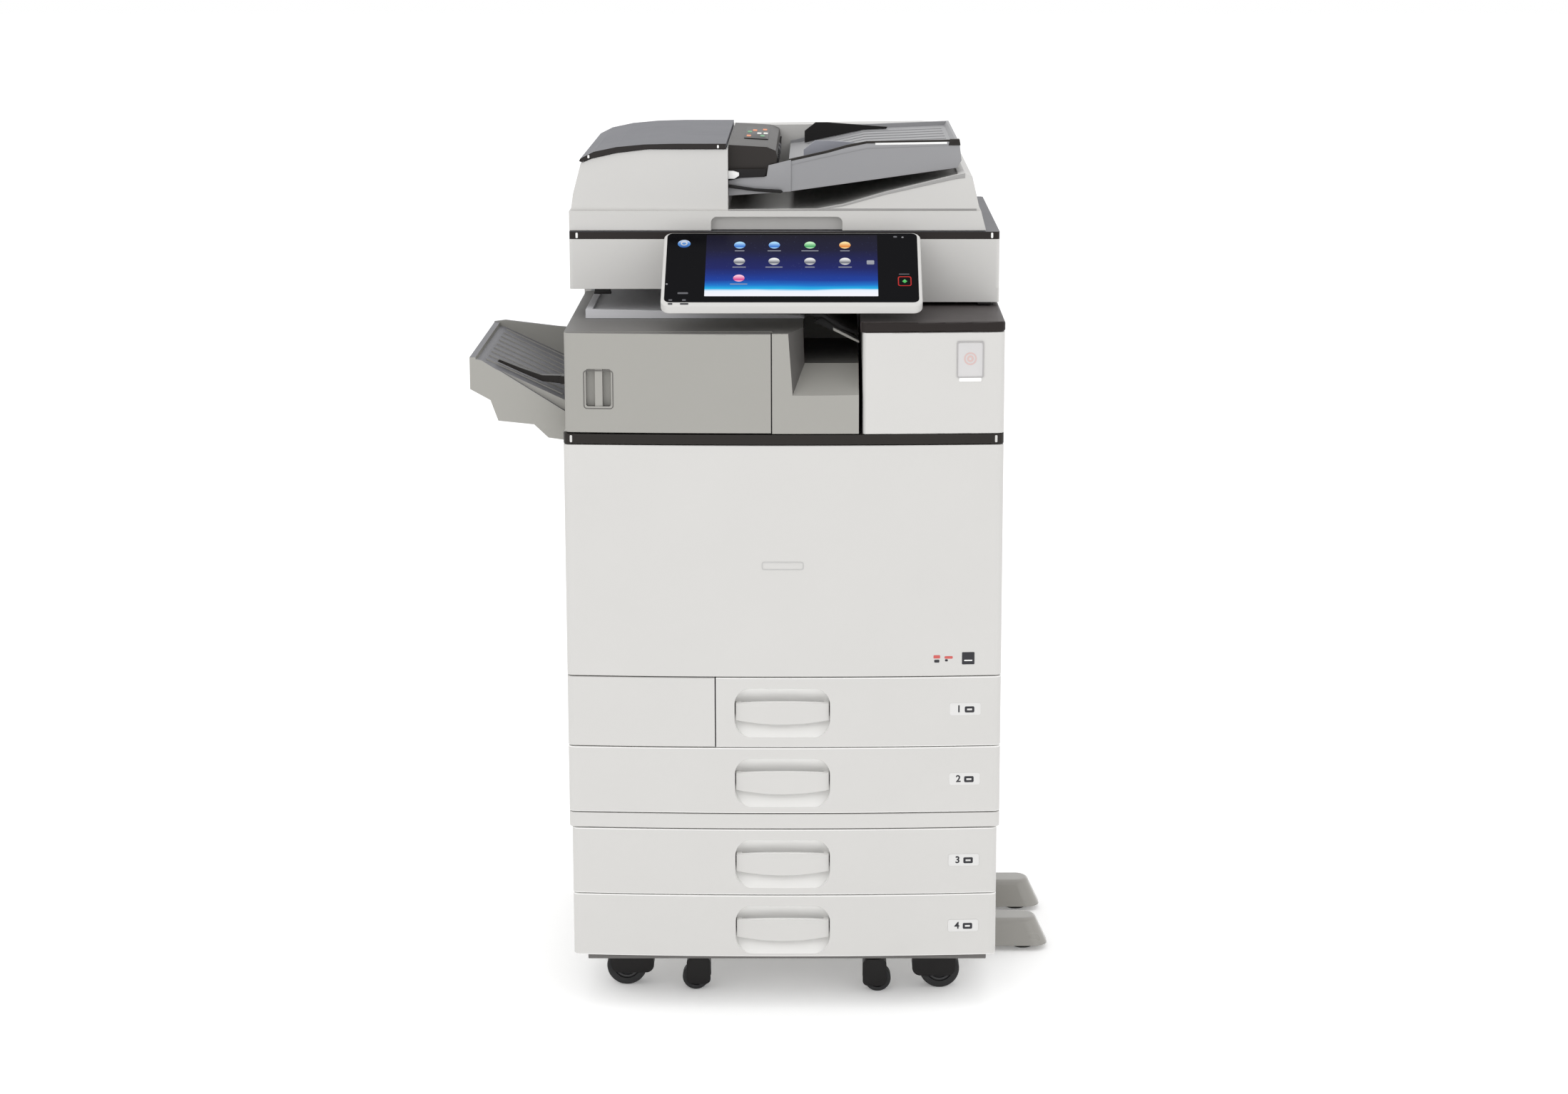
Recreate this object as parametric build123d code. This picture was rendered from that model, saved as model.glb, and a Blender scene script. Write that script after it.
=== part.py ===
from build123d import *
import os

# Office photocopier with an extra paper bank, a side output tray, a scanner and a document feeder.
# Working frame: X to the right with 0 on the machine's centre, Y back from the front face, Z up from
# the floor, all in millimetres. Every piece is moved by ORIGIN_SHIFT when it is written, so that the
# origin is the bottom centre of the whole object's box.

# Driving dimensions
MAIN_W = 587.0            # main body width
BANK_W = 580.0            # paper bank width
DEPTH = 685.0             # front face to the back of the rear cover
HEIGHT = 1173.0           # floor to the top of the document feeder
TRAY_END_X = -421.0       # outer end of the output tray
FOOT_END_X = 379.0        # outer end of the stabiliser feet
ORIGIN_SHIFT = (-(TRAY_END_X + FOOT_END_X) / 2, -DEPTH / 2, 0)

MAIN_X = MAIN_W / 2
BANK_X = BANK_W / 2
CROWN = 11.0              # how far the front bows out between its sides
FRONT_T = 28.0            # thickness of the front covers and drawer fronts
CASE_Y = FRONT_T + 1      # front edge of the side covers and of the bank
CASE_BACK = 640.0         # back of the side covers
GAP = 0.8                 # half the seam between two front covers
PLATE = 4.0               # steel plate of the inner frame

# Heights of the horizontal seams on the front, from the floor
BANK_BOTTOM = 76.0
SEAM_BANK_DRAWERS = 164.0
BANK_TOP = 258.0
SEAM_BEZEL = 280.0
SEAM_DRAWERS = 373.0
SEAM_COVER = 471.0
BELT_BOTTOM = 789.4
BELT_TOP = 802.7
DECK_TOP = 804.0
FINISHER_TOP = 938.0
CAP_BOTTOM = 939.5
CAP_TOP = 953.0
SCANNER_BOTTOM = 976.0
SCANNER_TOP = 1044.2
GLASS_TOP = 1054.4
FEEDER_BOTTOM = 1055.4
FEEDER_STEP = 1082.0

# Seams and edges across the width
DRAWER_SEAM_X = -93.0     # between the fixed lower panel and drawer 1
FINISHER_X = 100.0        # right edge of the finisher
EXIT_X = 105.0            # left edge of the exit cover
FINISHER_SEAM_X = -15.8   # between the finisher door and its fixed right part
SCANNER_Y = 170.0         # front of the scanner
SCANNER_BACK = 655.0
COLUMN_Y = 450.0          # front of the column that carries the scanner
TOWER_X = -77.0           # right side of the feeder's tall left part
FEEDER_Y = 175.0          # front of the feeder
FEEDER_BACK = 650.0

# Right side door and its pillars
DOOR_Y0 = 62.0
DOOR_Y1 = 558.0
DOOR_Z0 = 300.0
DOOR_Z1 = 786.0
RIGHT_SKIN = 23.5         # depth of the right door and pillars
INNER_RIGHT = MAIN_X - RIGHT_SKIN - 1.5
LEFT_SKIN = 10.0
INNER_LEFT = -(MAIN_X - LEFT_SKIN)

# Drawers: name, front x range, front z range, tray x range
DRAWERS = [
    ("drawer_1", (DRAWER_SEAM_X, MAIN_X), (SEAM_DRAWERS, SEAM_COVER), (-84.0, 250.0), MAIN_W),
    ("drawer_2", (-MAIN_X, MAIN_X), (SEAM_BEZEL, SEAM_DRAWERS), (-262.0, 250.0), MAIN_W),
    ("drawer_3", (-BANK_X, BANK_X), (SEAM_BANK_DRAWERS, BANK_TOP), (-262.0, 262.0), BANK_W),
    ("drawer_4", (-BANK_X, BANK_X), (BANK_BOTTOM - GAP, SEAM_BANK_DRAWERS), (-262.0, 262.0), BANK_W),
]
TRAY_Y = (FRONT_T, 560.0)
HANDLE_X = (-67.0, 62.0)
HANDLE_H = 68.0
HANDLE_DROP = 15.5        # from the top seam of a drawer to the top of its recess

# Toner bottles and the fuser
TONER_X = (-195.0, -85.0, 25.0, 135.0)
TONER_Z = 716.0
TONER_R = 34.0
FUSER = (232.0, 640.0)    # x and z of the fuser roller

# Casters: name, wheel centre x, wheel centre y, swivel axis x
MAIN_CASTERS = [
    ("front_left", -223.0, 114.0, -205.0),
    ("front_right", 216.0, 101.0, 198.0),
    ("rear_left", -223.0, 545.0, -205.0),
    ("rear_right", 216.0, 545.0, 198.0),
]
SMALL_CASTERS = [
    ("inner_left", -125.5, 91.0, -118.0),
    ("inner_right", 129.0, 83.0, 121.5),
]
MAIN_WHEEL_R = 28.0
SMALL_WHEEL_R = 18.5

FEET_Y = (276.0, 459.0)
FOOT_Z = (8.0, 47.0)      # underside and top of a stabiliser foot


def block(x, y, z, r=0.0, axis=Axis.Z):
    """A box given by its ranges, with the edges along one axis rounded."""
    size = (x[1] - x[0], y[1] - y[0], z[1] - z[0])
    solid = Pos((x[0] + x[1]) / 2, (y[0] + y[1]) / 2, (z[0] + z[1]) / 2) * Box(*size)
    if r:
        solid = fillet(solid.edges().filter_by(axis), r)
    return solid


def prism_y(points, y):
    """A polygon drawn in X and Z, pulled from y[0] to y[1]."""
    face = make_face(Polyline(*[(px, y[0], pz) for px, pz in points], close=True))
    return extrude(face, amount=y[1] - y[0], dir=(0, 1, 0))


def rod(axis, centre, radius, span):
    """A round bar along X, Y or Z. The centre gives the other two coordinates in order."""
    length = span[1] - span[0]
    middle = (span[0] + span[1]) / 2
    if axis == "X":
        return Pos(middle, centre[0], centre[1]) * Rot(0, 90, 0) * Cylinder(radius, length)
    if axis == "Y":
        return Pos(centre[0], middle, centre[1]) * Rot(90, 0, 0) * Cylinder(radius, length)
    return Pos(centre[0], centre[1], middle) * Cylinder(radius, length)


def crowned(width, z, depth, edge=1.2):
    """A full-width slab whose front bows out in plan, with rounded front corners and edges."""
    half = width / 2
    front = ThreePointArc((-half, CROWN), (0, 0), (half, CROWN))
    rest = Polyline((half, CROWN), (half, depth), (-half, depth), (-half, CROWN))
    outline = make_face([front.edge()] + list(rest.edges()))
    corners = [v for v in outline.vertices() if v.Y < depth - 1]
    outline = fillet(corners, 9)
    slab = extrude(Pos(0, 0, z[0]) * outline, amount=z[1] - z[0], dir=(0, 0, 1))
    if not edge:
        return slab
    level = [e for e in slab.edges() if e.bounding_box().size.Z < 0.01]
    fronts = [e for e in level if e.center().Y < depth - 1 and e.bounding_box().size.X > 0.1]
    return fillet(fronts, edge)


def front_panel(width, x, z, depth=FRONT_T):
    """Part of the crowned front, with the seams taken off its edges."""
    slab = crowned(width, (z[0] + GAP, z[1] - GAP), depth)
    left = x[0] + GAP if x[0] > -width / 2 + 1 else x[0] - 1
    right = x[1] - GAP if x[1] < width / 2 - 1 else x[1] + 1
    if left < -width / 2 and right > width / 2:
        return slab
    return slab & block((left, right), (-1, depth + 1), (z[0], z[1]))


def rounded_xz(x, z, radius):
    """A rounded rectangle that faces forward."""
    sketch = RectangleRounded(x[1] - x[0], z[1] - z[0], radius)
    return Plane(origin=((x[0] + x[1]) / 2, 0, (z[0] + z[1]) / 2), x_dir=(1, 0, 0), z_dir=(0, 1, 0)) * sketch


def handle(top):
    """The dished hand recess and the bowed bar across it, as (cut, bar)."""
    z = (top - HANDLE_H, top)
    centre_z = top - HANDLE_H / 2
    sag = 24.0
    radius = ((HANDLE_H / 2) ** 2 + sag ** 2) / (2 * sag)
    dish = rod("X", (sag - radius, centre_z), radius, HANDLE_X) & extrude(Pos(0, -1, 0) * rounded_xz(HANDLE_X, z, 22), amount=27)
    middle = (HANDLE_X[0] + HANDLE_X[1]) / 2
    bar_z = (top - 45, top - 22)
    ends = (HANDLE_X[0] + 1.5, HANDLE_X[1] - 1.5)
    upper = ThreePointArc((ends[0], 0, bar_z[1]), (middle, 0, bar_z[1] + 2.5), (ends[1], 0, bar_z[1]))
    lower = ThreePointArc((ends[0], 0, bar_z[0]), (middle, 0, bar_z[0] - 5.5), (ends[1], 0, bar_z[0]))
    sides = [Line((end, 0, bar_z[0]), (end, 0, bar_z[1])) for end in ends]
    outline = make_face([upper.edge(), lower.edge()] + [side.edge() for side in sides])
    bow = ThreePointArc((ends[0], 4.5), (middle, 0.6), (ends[1], 4.5))
    bow_back = ThreePointArc((ends[0], 12.5), (middle, 8.6), (ends[1], 12.5))
    joins = [Line((end, 4.5), (end, 12.5)).edge() for end in ends]
    plan = extrude(make_face([bow.edge(), bow_back.edge()] + joins), amount=HEIGHT, dir=(0, 0, 1))
    bar = extrude(outline, amount=14, dir=(0, 1, 0)) & plan
    for post_x in ((ends[0], ends[0] + 7), (ends[1] - 7, ends[1])):
        bar += block(post_x, (8, FRONT_T - 2), (bar_z[0] + 1, bar_z[1] - 1))
    return dish, bar


def drawer_front(width, x, z):
    """A drawer front with its hand recess and pull bar."""
    cut, bar = handle(z[1] - HANDLE_DROP)
    return front_panel(width, x, z) - cut + bar


def drawer_tray(x, z):
    """The open paper tray behind a drawer front, with its side guides and end stop."""
    low = z[0] + 8
    high = z[1] - 14
    outer = block(x, TRAY_Y, (low, high))
    inner = block((x[0] + 2.5, x[1] - 2.5), (TRAY_Y[0] + 3, TRAY_Y[1] - 2.5), (low + 2.5, high + 1))
    tray = outer - inner
    end_stop = block((x[0] + 2, x[0] + 12), (TRAY_Y[0] + 120, TRAY_Y[1] - 120), (low + 2, high - 6))
    for side_y in (TRAY_Y[0] + 24, TRAY_Y[1] - 34):
        tray += block((x[0] + 60, x[1] - 60), (side_y, side_y + 5), (low + 2, high - 8))
    return tray + end_stop


def bank_cabinet():
    """The paper bank's box, open at the front, with drawer ledges and a pocket for its side door."""
    body = block((-BANK_X, BANK_X), (CASE_Y, 620.0), (BANK_BOTTOM, BANK_TOP), 3)
    inside = block((-278, 278), (CASE_Y - 1, 612), (BANK_BOTTOM + 6, BANK_TOP - 6))
    body -= inside
    for side in (-1, 1):
        ledge = sorted((side * 266, side * 279))
        body += block(ledge, (60, 600), (SEAM_BANK_DRAWERS - 3, SEAM_BANK_DRAWERS + 1))
    return body - block((283.5, 291), (79, 541), (104, 244))


def bank_door():
    """The small door on the bank's right side, with a finger lip at its top."""
    door = block((284, BANK_X), (80, 540), (105, 243), 4, Axis.X)
    return door - block((BANK_X - 3, BANK_X + 1), (270, 350), (226, 240), 4, Axis.X)


def base_pan():
    """The white strip under drawer 2 and the floor of the main body."""
    return crowned(MAIN_W, (BANK_TOP + GAP, SEAM_BEZEL - GAP), CASE_BACK)


def vent_slots(x, y, z, count, pitch, slot):
    """A row of upright slots along Y, cut through the X range."""
    slots = [block(x, (y + i * pitch, y + i * pitch + slot), z) for i in range(count)]
    cut = slots[0]
    for extra in slots[1:]:
        cut += extra
    return cut


def left_cover():
    """The left outer cover, which rises at the back to hide the scanner's column."""
    z0 = SEAM_BEZEL
    cover = block((-MAIN_X, INNER_LEFT), (CASE_Y, CASE_BACK), (z0, BELT_TOP))
    cover += block((-MAIN_X, INNER_LEFT), (COLUMN_Y, CASE_BACK), (BELT_TOP - 1, SCANNER_BOTTOM - 1))
    for row_z in (330, 690):
        cover -= vent_slots((-MAIN_X - 1, INNER_LEFT + 1), 420, (row_z, row_z + 55), 16, 11, 4)
    return cover


def right_cover():
    """The frame around the right side door: front pillar, sill and rear pillar."""
    x = (MAIN_X - RIGHT_SKIN, MAIN_X)
    cover = block(x, (CASE_Y, DOOR_Y0 - 1), (SEAM_BEZEL, BELT_TOP))
    cover += block(x, (DOOR_Y1 + 1, CASE_BACK), (SEAM_BEZEL, SCANNER_BOTTOM - 1))
    cover += block(x, (CASE_Y, CASE_BACK), (SEAM_BEZEL, DOOR_Z0 - 1))
    cover += block((MAIN_X - LEFT_SKIN, MAIN_X), (COLUMN_Y, CASE_BACK), (BELT_TOP - 1, SCANNER_BOTTOM - 1))
    cover += block(x, (DOOR_Y0 - 2, DOOR_Y1 + 2), (DOOR_Z1 + 1, BELT_TOP))
    return cover


def main_frame():
    """The steel inner frame, bolted from plates: sides, back, shelf, deck, drawer divider and column."""
    left = INNER_LEFT
    right = INNER_RIGHT
    floor_z = SEAM_BEZEL - GAP
    deck_z = (DECK_TOP - 2 - PLATE, DECK_TOP - 2)
    deck_x = (-MAIN_X + LEFT_SKIN, MAIN_X - RIGHT_SKIN)
    y = (CASE_Y + 1, CASE_BACK - PLATE)
    shelf_z = (SEAM_COVER - 1, SEAM_COVER + PLATE - 1)
    divider_x = DRAWER_SEAM_X - 2
    plates = [
        block((left, left + PLATE), y, (floor_z, deck_z[0])),
        block((right - PLATE, right), y, (floor_z, deck_z[0])),
        block((left, right), (y[1], CASE_BACK), (floor_z, SCANNER_BOTTOM)),
        block((left + PLATE, right - PLATE), y, shelf_z),
        block(deck_x, y, deck_z),
        block(deck_x, (COLUMN_Y, COLUMN_Y + PLATE), (deck_z[1], SCANNER_BOTTOM - PLATE)),
        block(deck_x, (COLUMN_Y, y[1]), (SCANNER_BOTTOM - PLATE, SCANNER_BOTTOM)),
        block((divider_x - 3, divider_x), (y[0], 600), (SEAM_DRAWERS + 2, shelf_z[0])),
    ]
    return Compound(children=plates)


def inner_front_cover():
    """The dark plate behind the front cover, with the openings for the toner bottles."""
    plate = block((INNER_LEFT + PLATE, INNER_RIGHT - PLATE), (34, 40), (SEAM_COVER + PLATE - 1, DECK_TOP - 7))
    for x in TONER_X:
        plate -= rod("Y", (x, TONER_Z), TONER_R + 2, (30, 45))
    for x in TONER_X:
        plate -= block((x - 28, x + 28), (33, 37), (560, 640), 8, Axis.Y)
    return plate


def toner_bottle(x):
    """A toner bottle with its wider front cap, a grip bar across it, and a spiral feed groove."""
    bottle = rod("Y", (x, TONER_Z), TONER_R - 3, (44, 440))
    bottle = fillet(bottle.edges(), 4)
    bottle += rod("Y", (x, TONER_Z), TONER_R, (33, 46))
    for ring in range(12):
        groove_y = 80 + ring * 28
        groove = rod("Y", (x, TONER_Z), TONER_R + 1, (groove_y, groove_y + 8))
        groove -= rod("Y", (x, TONER_Z), TONER_R - 6, (groove_y - 1, groove_y + 9))
        bottle -= groove
    return bottle + block((x - 22, x + 22), (30.5, 34), (TONER_Z - 4, TONER_Z + 4))


def belt_trim():
    """The dark strip round the main body under the output area, with small light grips at its ends."""
    strip = crowned(MAIN_W, (BELT_BOTTOM + 0.3, BELT_TOP), CASE_Y, 0)
    return strip - block((-MAIN_X + 16, MAIN_X - 16), (22, CASE_Y + 1), (BELT_BOTTOM, BELT_TOP + 1))


def front_cover():
    """The large front cover, hinged along its bottom edge."""
    return front_panel(MAIN_W, (-MAIN_X, MAIN_X), (SEAM_COVER, BELT_BOTTOM - 0.4))


def rear_cover():
    """The rear cover with two fan grilles and the recess for the power inlet."""
    cover = block((-270, 262), (CASE_BACK + 0.2, DEPTH), (300, 940), 6)
    cover -= block((-262, 254), (CASE_BACK - 1, DEPTH - 4), (308, 932))
    for grille_x in (-210, 70):
        for row in range(14):
            z = 760 + row * 10
            cover -= block((grille_x, grille_x + 120), (DEPTH - 5, DEPTH + 1), (z, z + 5))
    return cover - block((-230, -170), (DEPTH - 6, DEPTH + 1), (330, 372))


def power_inlet():
    """The mains inlet: a flanged socket with three flat pins."""
    body = block((-232, -168), (DEPTH - 34, DEPTH - 4), (328, 374), 3, Axis.Y)
    body += block((-229.7, -170.3), (DEPTH - 5, DEPTH - 1), (330.3, 371.7))
    body -= block((-214, -186), (DEPTH - 26, DEPTH + 1), (340, 362), 4, Axis.Y)
    for pin_x, pin_z in ((-208, 349), (-200, 355), (-192, 349)):
        body += block((pin_x - 1, pin_x + 1), (DEPTH - 27, DEPTH - 8), (pin_z - 3, pin_z + 3))
    return body


def finisher_housing():
    """The grey finisher body: open at the front behind its door, with a hand scoop on the right."""
    x = (-291.0, FINISHER_X)
    body = block(x, (CASE_Y - 6, COLUMN_Y - 6), (DECK_TOP, FINISHER_TOP), 2)
    front = crowned(2 * 291, (DECK_TOP, FINISHER_TOP), CASE_Y)
    body += front & block((FINISHER_SEAM_X + GAP, FINISHER_X), (-1, CASE_Y), (DECK_TOP, FINISHER_TOP))
    body -= block((x[0] + 8, FINISHER_SEAM_X - 6), (CASE_Y - 7, COLUMN_Y - 12), (DECK_TOP + 6, FINISHER_TOP - 6))
    body -= block((x[0] - 1, x[0] + 10), (80, 410), (880, 904))
    lip = Polyline((6, -1, FINISHER_TOP + 1), (12, -1, 855), (101, -1, 855), (101, -1, FINISHER_TOP + 1), close=True)
    deep = Polyline((26, 62, FINISHER_TOP + 1), (28, 62, 890), (101, 62, 890), (101, 62, FINISHER_TOP + 1), close=True)
    body -= loft([make_face(lip), make_face(deep)])
    return body - block((26, 101), (61, 300), (890, FINISHER_TOP + 1))


def finisher_door():
    """The finisher's front door with the latch recess and its upright grip bar."""
    slab = crowned(2 * 291, (DECK_TOP + GAP, FINISHER_TOP - 0.5), CASE_Y - 7)
    door = slab & block((-300, FINISHER_SEAM_X - GAP), (-1, CASE_Y), (DECK_TOP, FINISHER_TOP))
    recess = block((-262, -228.6), (-1, 18), (840, 890), 3, Axis.Y)
    return door - recess + block((-250, -240), (9, 19), (839, 891))


def one_bin_tray():
    """The thin wedge-shaped tray that lies on the finisher, raised at its left end."""
    z = FINISHER_TOP + 0.3
    wedge = prism_y([(-271, z), (-271, z + 12), (-120, z + 9), (20, z + 3), (28, z)], (150, 430))
    return wedge - prism_y([(-262, z + 14), (-262, z + 8), (-120, z + 6), (20, z + 1.5), (30, z + 14)], (158, 431))


def output_tray():
    """The grey side tray: sloping ribbed floor, low front wall, higher back wall and outer rim."""
    under = [(TRAY_END_X, 855), (-394, 840), (-384, 812), (-336, 807), (-317, 789), (-292, 785.5)]
    floor = [(-292, 838), (-405, 891), (TRAY_END_X, 894)]
    tray = prism_y(under + floor, (60, 405))
    front = [(-292, 822), (-405, 894), (TRAY_END_X, 897)]
    tray -= prism_y([(-291, 823), (-291, 900), (-410, 900), (-405, 895)], (59, 67))
    tray += prism_y(under + front, (60, 66))
    back = [(-292, 889), (-330, 892), (-405, 901), (TRAY_END_X, 899)]
    tray += prism_y(under + back, (405, 411))
    tray += prism_y([(TRAY_END_X, 855), (TRAY_END_X, 898), (-413, 898), (-411, 870)], (60, 411))
    for rib in range(9):
        rib_y = 96 + rib * 36
        tray += prism_y([(-300, 841), (-402, 889), (-402, 891.5), (-300, 843.5)], (rib_y, rib_y + 3))
    tray &= block((TRAY_END_X - 1, -MAIN_X), (50, 420), (780, 910))
    return tray + block((-MAIN_X - 4, -291), (80, 390), (DECK_TOP + 4, 836))


def tray_lever():
    """The curved black lever that rests over the output tray's floor and senses a full stack."""
    upper = [(-299, 868), (-327, 868.5), (-357, 879), (-384, 890)]
    lower = [(-387, 887.5), (-357, 873.5), (-327, 860.5), (-299, 857)]
    return prism_y(upper + lower, (94, 106)) + rod("Y", LEVER_HINGE, 5.5, (90, 110))


def exit_cover():
    """The white cover over the paper exit on the right, open underneath."""
    shell = crowned(MAIN_W, (DECK_TOP - 0.5, CAP_BOTTOM - 0.5), COLUMN_Y - 6)
    shell &= block((EXIT_X, MAIN_X + 20), (1.2, COLUMN_Y + 10), (DECK_TOP - 1, CAP_BOTTOM), 7)
    inner = block((EXIT_X + 4, MAIN_X - 4), (18, COLUMN_Y - 12), (DECK_TOP - 2, CAP_BOTTOM - 5))
    return shell - inner


def exit_cap():
    """The dark cap on the exit cover, with rounded front corners."""
    cap = crowned(MAIN_W + 1, (CAP_BOTTOM, CAP_TOP), COLUMN_Y - 6, 3)
    return cap & block((EXIT_X - 3, MAIN_X + 20), (1.2, COLUMN_Y + 10), (CAP_BOTTOM - 1, CAP_TOP + 1), 10)


def scanner_base():
    """The scanner's open white tray, with a lower skirt on the right and the feeder's hinge posts."""
    base = block((-MAIN_X, MAIN_X), (SCANNER_Y, SCANNER_BACK), (SCANNER_BOTTOM, SCANNER_TOP), 5)
    base -= block((-MAIN_X + 7, MAIN_X - 7), (SCANNER_Y + 7, SCANNER_BACK - 7), (SCANNER_BOTTOM + 6, SCANNER_TOP + 1))
    base += block((186, MAIN_X), (SCANNER_Y, COLUMN_Y - 7), (958, SCANNER_BOTTOM + 1), 3)
    for lug_x in HINGE_X:
        post = block((lug_x - 25, lug_x), (SCANNER_BACK - 1, SCANNER_BACK + 18), (SCANNER_BOTTOM + 10, HINGE_Z + 8.5))
        base += post - rod("X", (HINGE_Y, HINGE_Z), PIN_R + 0.05, (lug_x - 26, lug_x + 1))
    for lug_x in PANEL_LUGS:
        arm_x = (lug_x + LUG_T + 0.5, lug_x + LUG_T + 20)
        base += block(arm_x, (PANEL_HINGE[0] - 5.5, SCANNER_Y + 1), (PANEL_HINGE[1] - 9, PANEL_HINGE[1] + 9))
        base += rod("X", PANEL_HINGE, PIN_R, (lug_x, arm_x[1]))
    return base


def scanner_top_frame():
    """The dark frame on top of the scanner, with rebates for the two glasses."""
    frame = block((-MAIN_X, MAIN_X), (SCANNER_Y, SCANNER_BACK - 1.5), (SCANNER_TOP, GLASS_TOP), 5)
    for x, y in GLASSES:
        frame -= block((x[0] - 0.3, x[1] + 0.3), (y[0] - 0.3, y[1] + 0.3), (GLASS_TOP - 4, GLASS_TOP + 1))
        frame -= block((x[0] + 5, x[1] - 5), (y[0] + 5, y[1] - 5), (SCANNER_TOP - 1, GLASS_TOP))
    return frame


def platen_glass():
    """The flat-bed glass and the narrow glass that the feeder reads through."""
    plates = [block(x, y, (GLASS_TOP - 4, GLASS_TOP)) for x, y in GLASSES]
    return Compound(children=plates)


def scan_carriage():
    """The lamp and mirror carriage that travels under the glass."""
    body = block((-278, -238), (SCANNER_Y + 14, SCANNER_BACK - 14), (992, 1030), 3, Axis.Y)
    body -= prism_y([(-264, 1031), (-252, 1031), (-256, 1018), (-260, 1018)], (SCANNER_Y + 30, SCANNER_BACK - 30))
    return body


def feeder_base():
    """The feeder's white body: tall left part, ramped output tray, rear wall, lift recess, hinge lugs."""
    y_low = (FEEDER_Y, FEEDER_BACK)
    y_up = (FEEDER_Y + 6, FEEDER_BACK)
    body = prism_y([(-MAIN_X, FEEDER_BOTTOM), (275, FEEDER_BOTTOM), (268, FEEDER_STEP), (-MAIN_X, FEEDER_STEP)], y_low)
    tower = [(-MAIN_X + 2, FEEDER_STEP - 1), (-288, 1105), (-277, 1146), (-262, 1152.5), (-228, 1160)]
    tower += [(-186, 1165), (TOWER_X, 1165), (TOWER_X, FEEDER_STEP - 1)]
    body += prism_y(tower, y_up)
    ramp = [(TOWER_X - 1, FEEDER_STEP - 1), (TOWER_X - 1, FEEDER_STEP + 1), (45, FEEDER_STEP + 2)]
    ramp += [(80, 1090.5), (137, 1107), (232, 1130), (246, 1133), (256, 1128), (267, FEEDER_STEP - 1)]
    body += prism_y(ramp, y_up)
    floor = [(TOWER_X, FEEDER_STEP + 90), (TOWER_X, 1078), (40, 1080), (80, 1087.5), (137, 1104), (226, 1125.5)]
    floor += [(236, 1128), (250, FEEDER_STEP + 90)]
    body -= prism_y(floor, (FEEDER_Y + 17, 604))
    rear = [(TOWER_X - 1, 1070), (TOWER_X - 1, 1165), (200, 1168), (232, 1166), (244, 1130), (267, 1082)]
    body += prism_y(rear, (604, FEEDER_BACK))
    body -= block((-100, 79), (FEEDER_Y - 1, FEEDER_Y + 13), (FEEDER_BOTTOM - 12, 1074), 8, Axis.Y)
    for lug_x in HINGE_X:
        body += block((lug_x + 0.4, lug_x + 22), (FEEDER_BACK - 2, HINGE_Y + 8), (FEEDER_BOTTOM + 0.2, HINGE_Z + 9))
        body += rod("X", (HINGE_Y, HINGE_Z), PIN_R, (lug_x - 22, lug_x + 2))
    return body


def feed_unit():
    """The black feed unit beside the tall part: a rounded hood over the sheets' way in."""
    hood = [(-76.6, 1108), (-44, 1106), (-24, 1111), (-13, 1130), (-10, 1152), (-12, 1161), (-24, 1166), (-76.6, 1169)]
    return prism_y(hood, (208, 603))


def feed_cover():
    """The grey lid over the feeder's rollers, curved at its left end where it is hinged."""
    outer = [(-279, 1149.5), (-277, 1153), (-259, 1162), (-228, 1168.5), (-190, 1172), (-150, HEIGHT), (-79, HEIGHT)]
    inner = [(-79, 1165.8), (-186, 1165.8), (-228, 1160.8), (-262, 1153.3), (-275.5, 1148)]
    return prism_y(outer + inner, (FEEDER_Y + 3, 602))


def input_tray():
    """The grey tray that originals are laid in, sloping down to the left, with a sunk paper bed."""
    profile = [(5, 1105.5), (70, 1114.5), (236, 1138), (242, 1148), (239, 1172), (112, 1167), (50, 1153.5), (5, 1143)]
    tray = prism_y(profile, (205, 600))
    return tray - prism_y([(4, 1139.5), (4, 1180), (240, 1180), (232, 1166), (112, 1161), (50, 1148), (20, 1141)], (214, 591))


def fence(y):
    """A paper guide that stands on the input tray's bed."""
    return prism_y([(26, 1143), (50, 1148.6), (112, 1161.6), (146, 1163.1), (148, 1166), (60, 1172.4), (42, 1172.4), (26, 1160)], (y, y + 6))


def tilted_panel(x, y, z, r=0.0):
    """A rounded box in the panel's own frame, turned to its leaning rest position."""
    return Pos(0, PANEL_PIVOT[0], PANEL_PIVOT[1]) * Rot(PANEL_LEAN, 0, 0) * block(x, y, z, r)


def panel_housing():
    """The white frame of the operation panel, with the glass rebate and the tilt lugs behind it."""
    housing = tilted_panel(PANEL_X, (-PANEL_L, 0), (-3, 12), 12)
    rims = [e for e in housing.edges() if e.length > 30]
    housing = fillet(rims, 2.5)
    bed_x = (PANEL_X[0] + 4.5, PANEL_X[1] - 4.5)
    housing -= tilted_panel(bed_x, (-PANEL_L + 6, -2), (9.5, 14), 8)
    for lug_x in PANEL_LUGS:
        lug = block((lug_x, lug_x + LUG_T), (PANEL_HINGE[0] - 20, PANEL_HINGE[0] + 6), (1027, 1041))
        housing += lug
        housing -= rod("X", PANEL_HINGE, PIN_R + 0.05, (lug_x - 1, lug_x + LUG_T + 1))
    return housing


def panel_screen():
    """The black glass with the display behind it."""
    bed_x = (PANEL_X[0] + 4.8, PANEL_X[1] - 4.8)
    return tilted_panel(bed_x, (-PANEL_L + 6.3, -2.3), (9.5, 12.2), 7.7)


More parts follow.
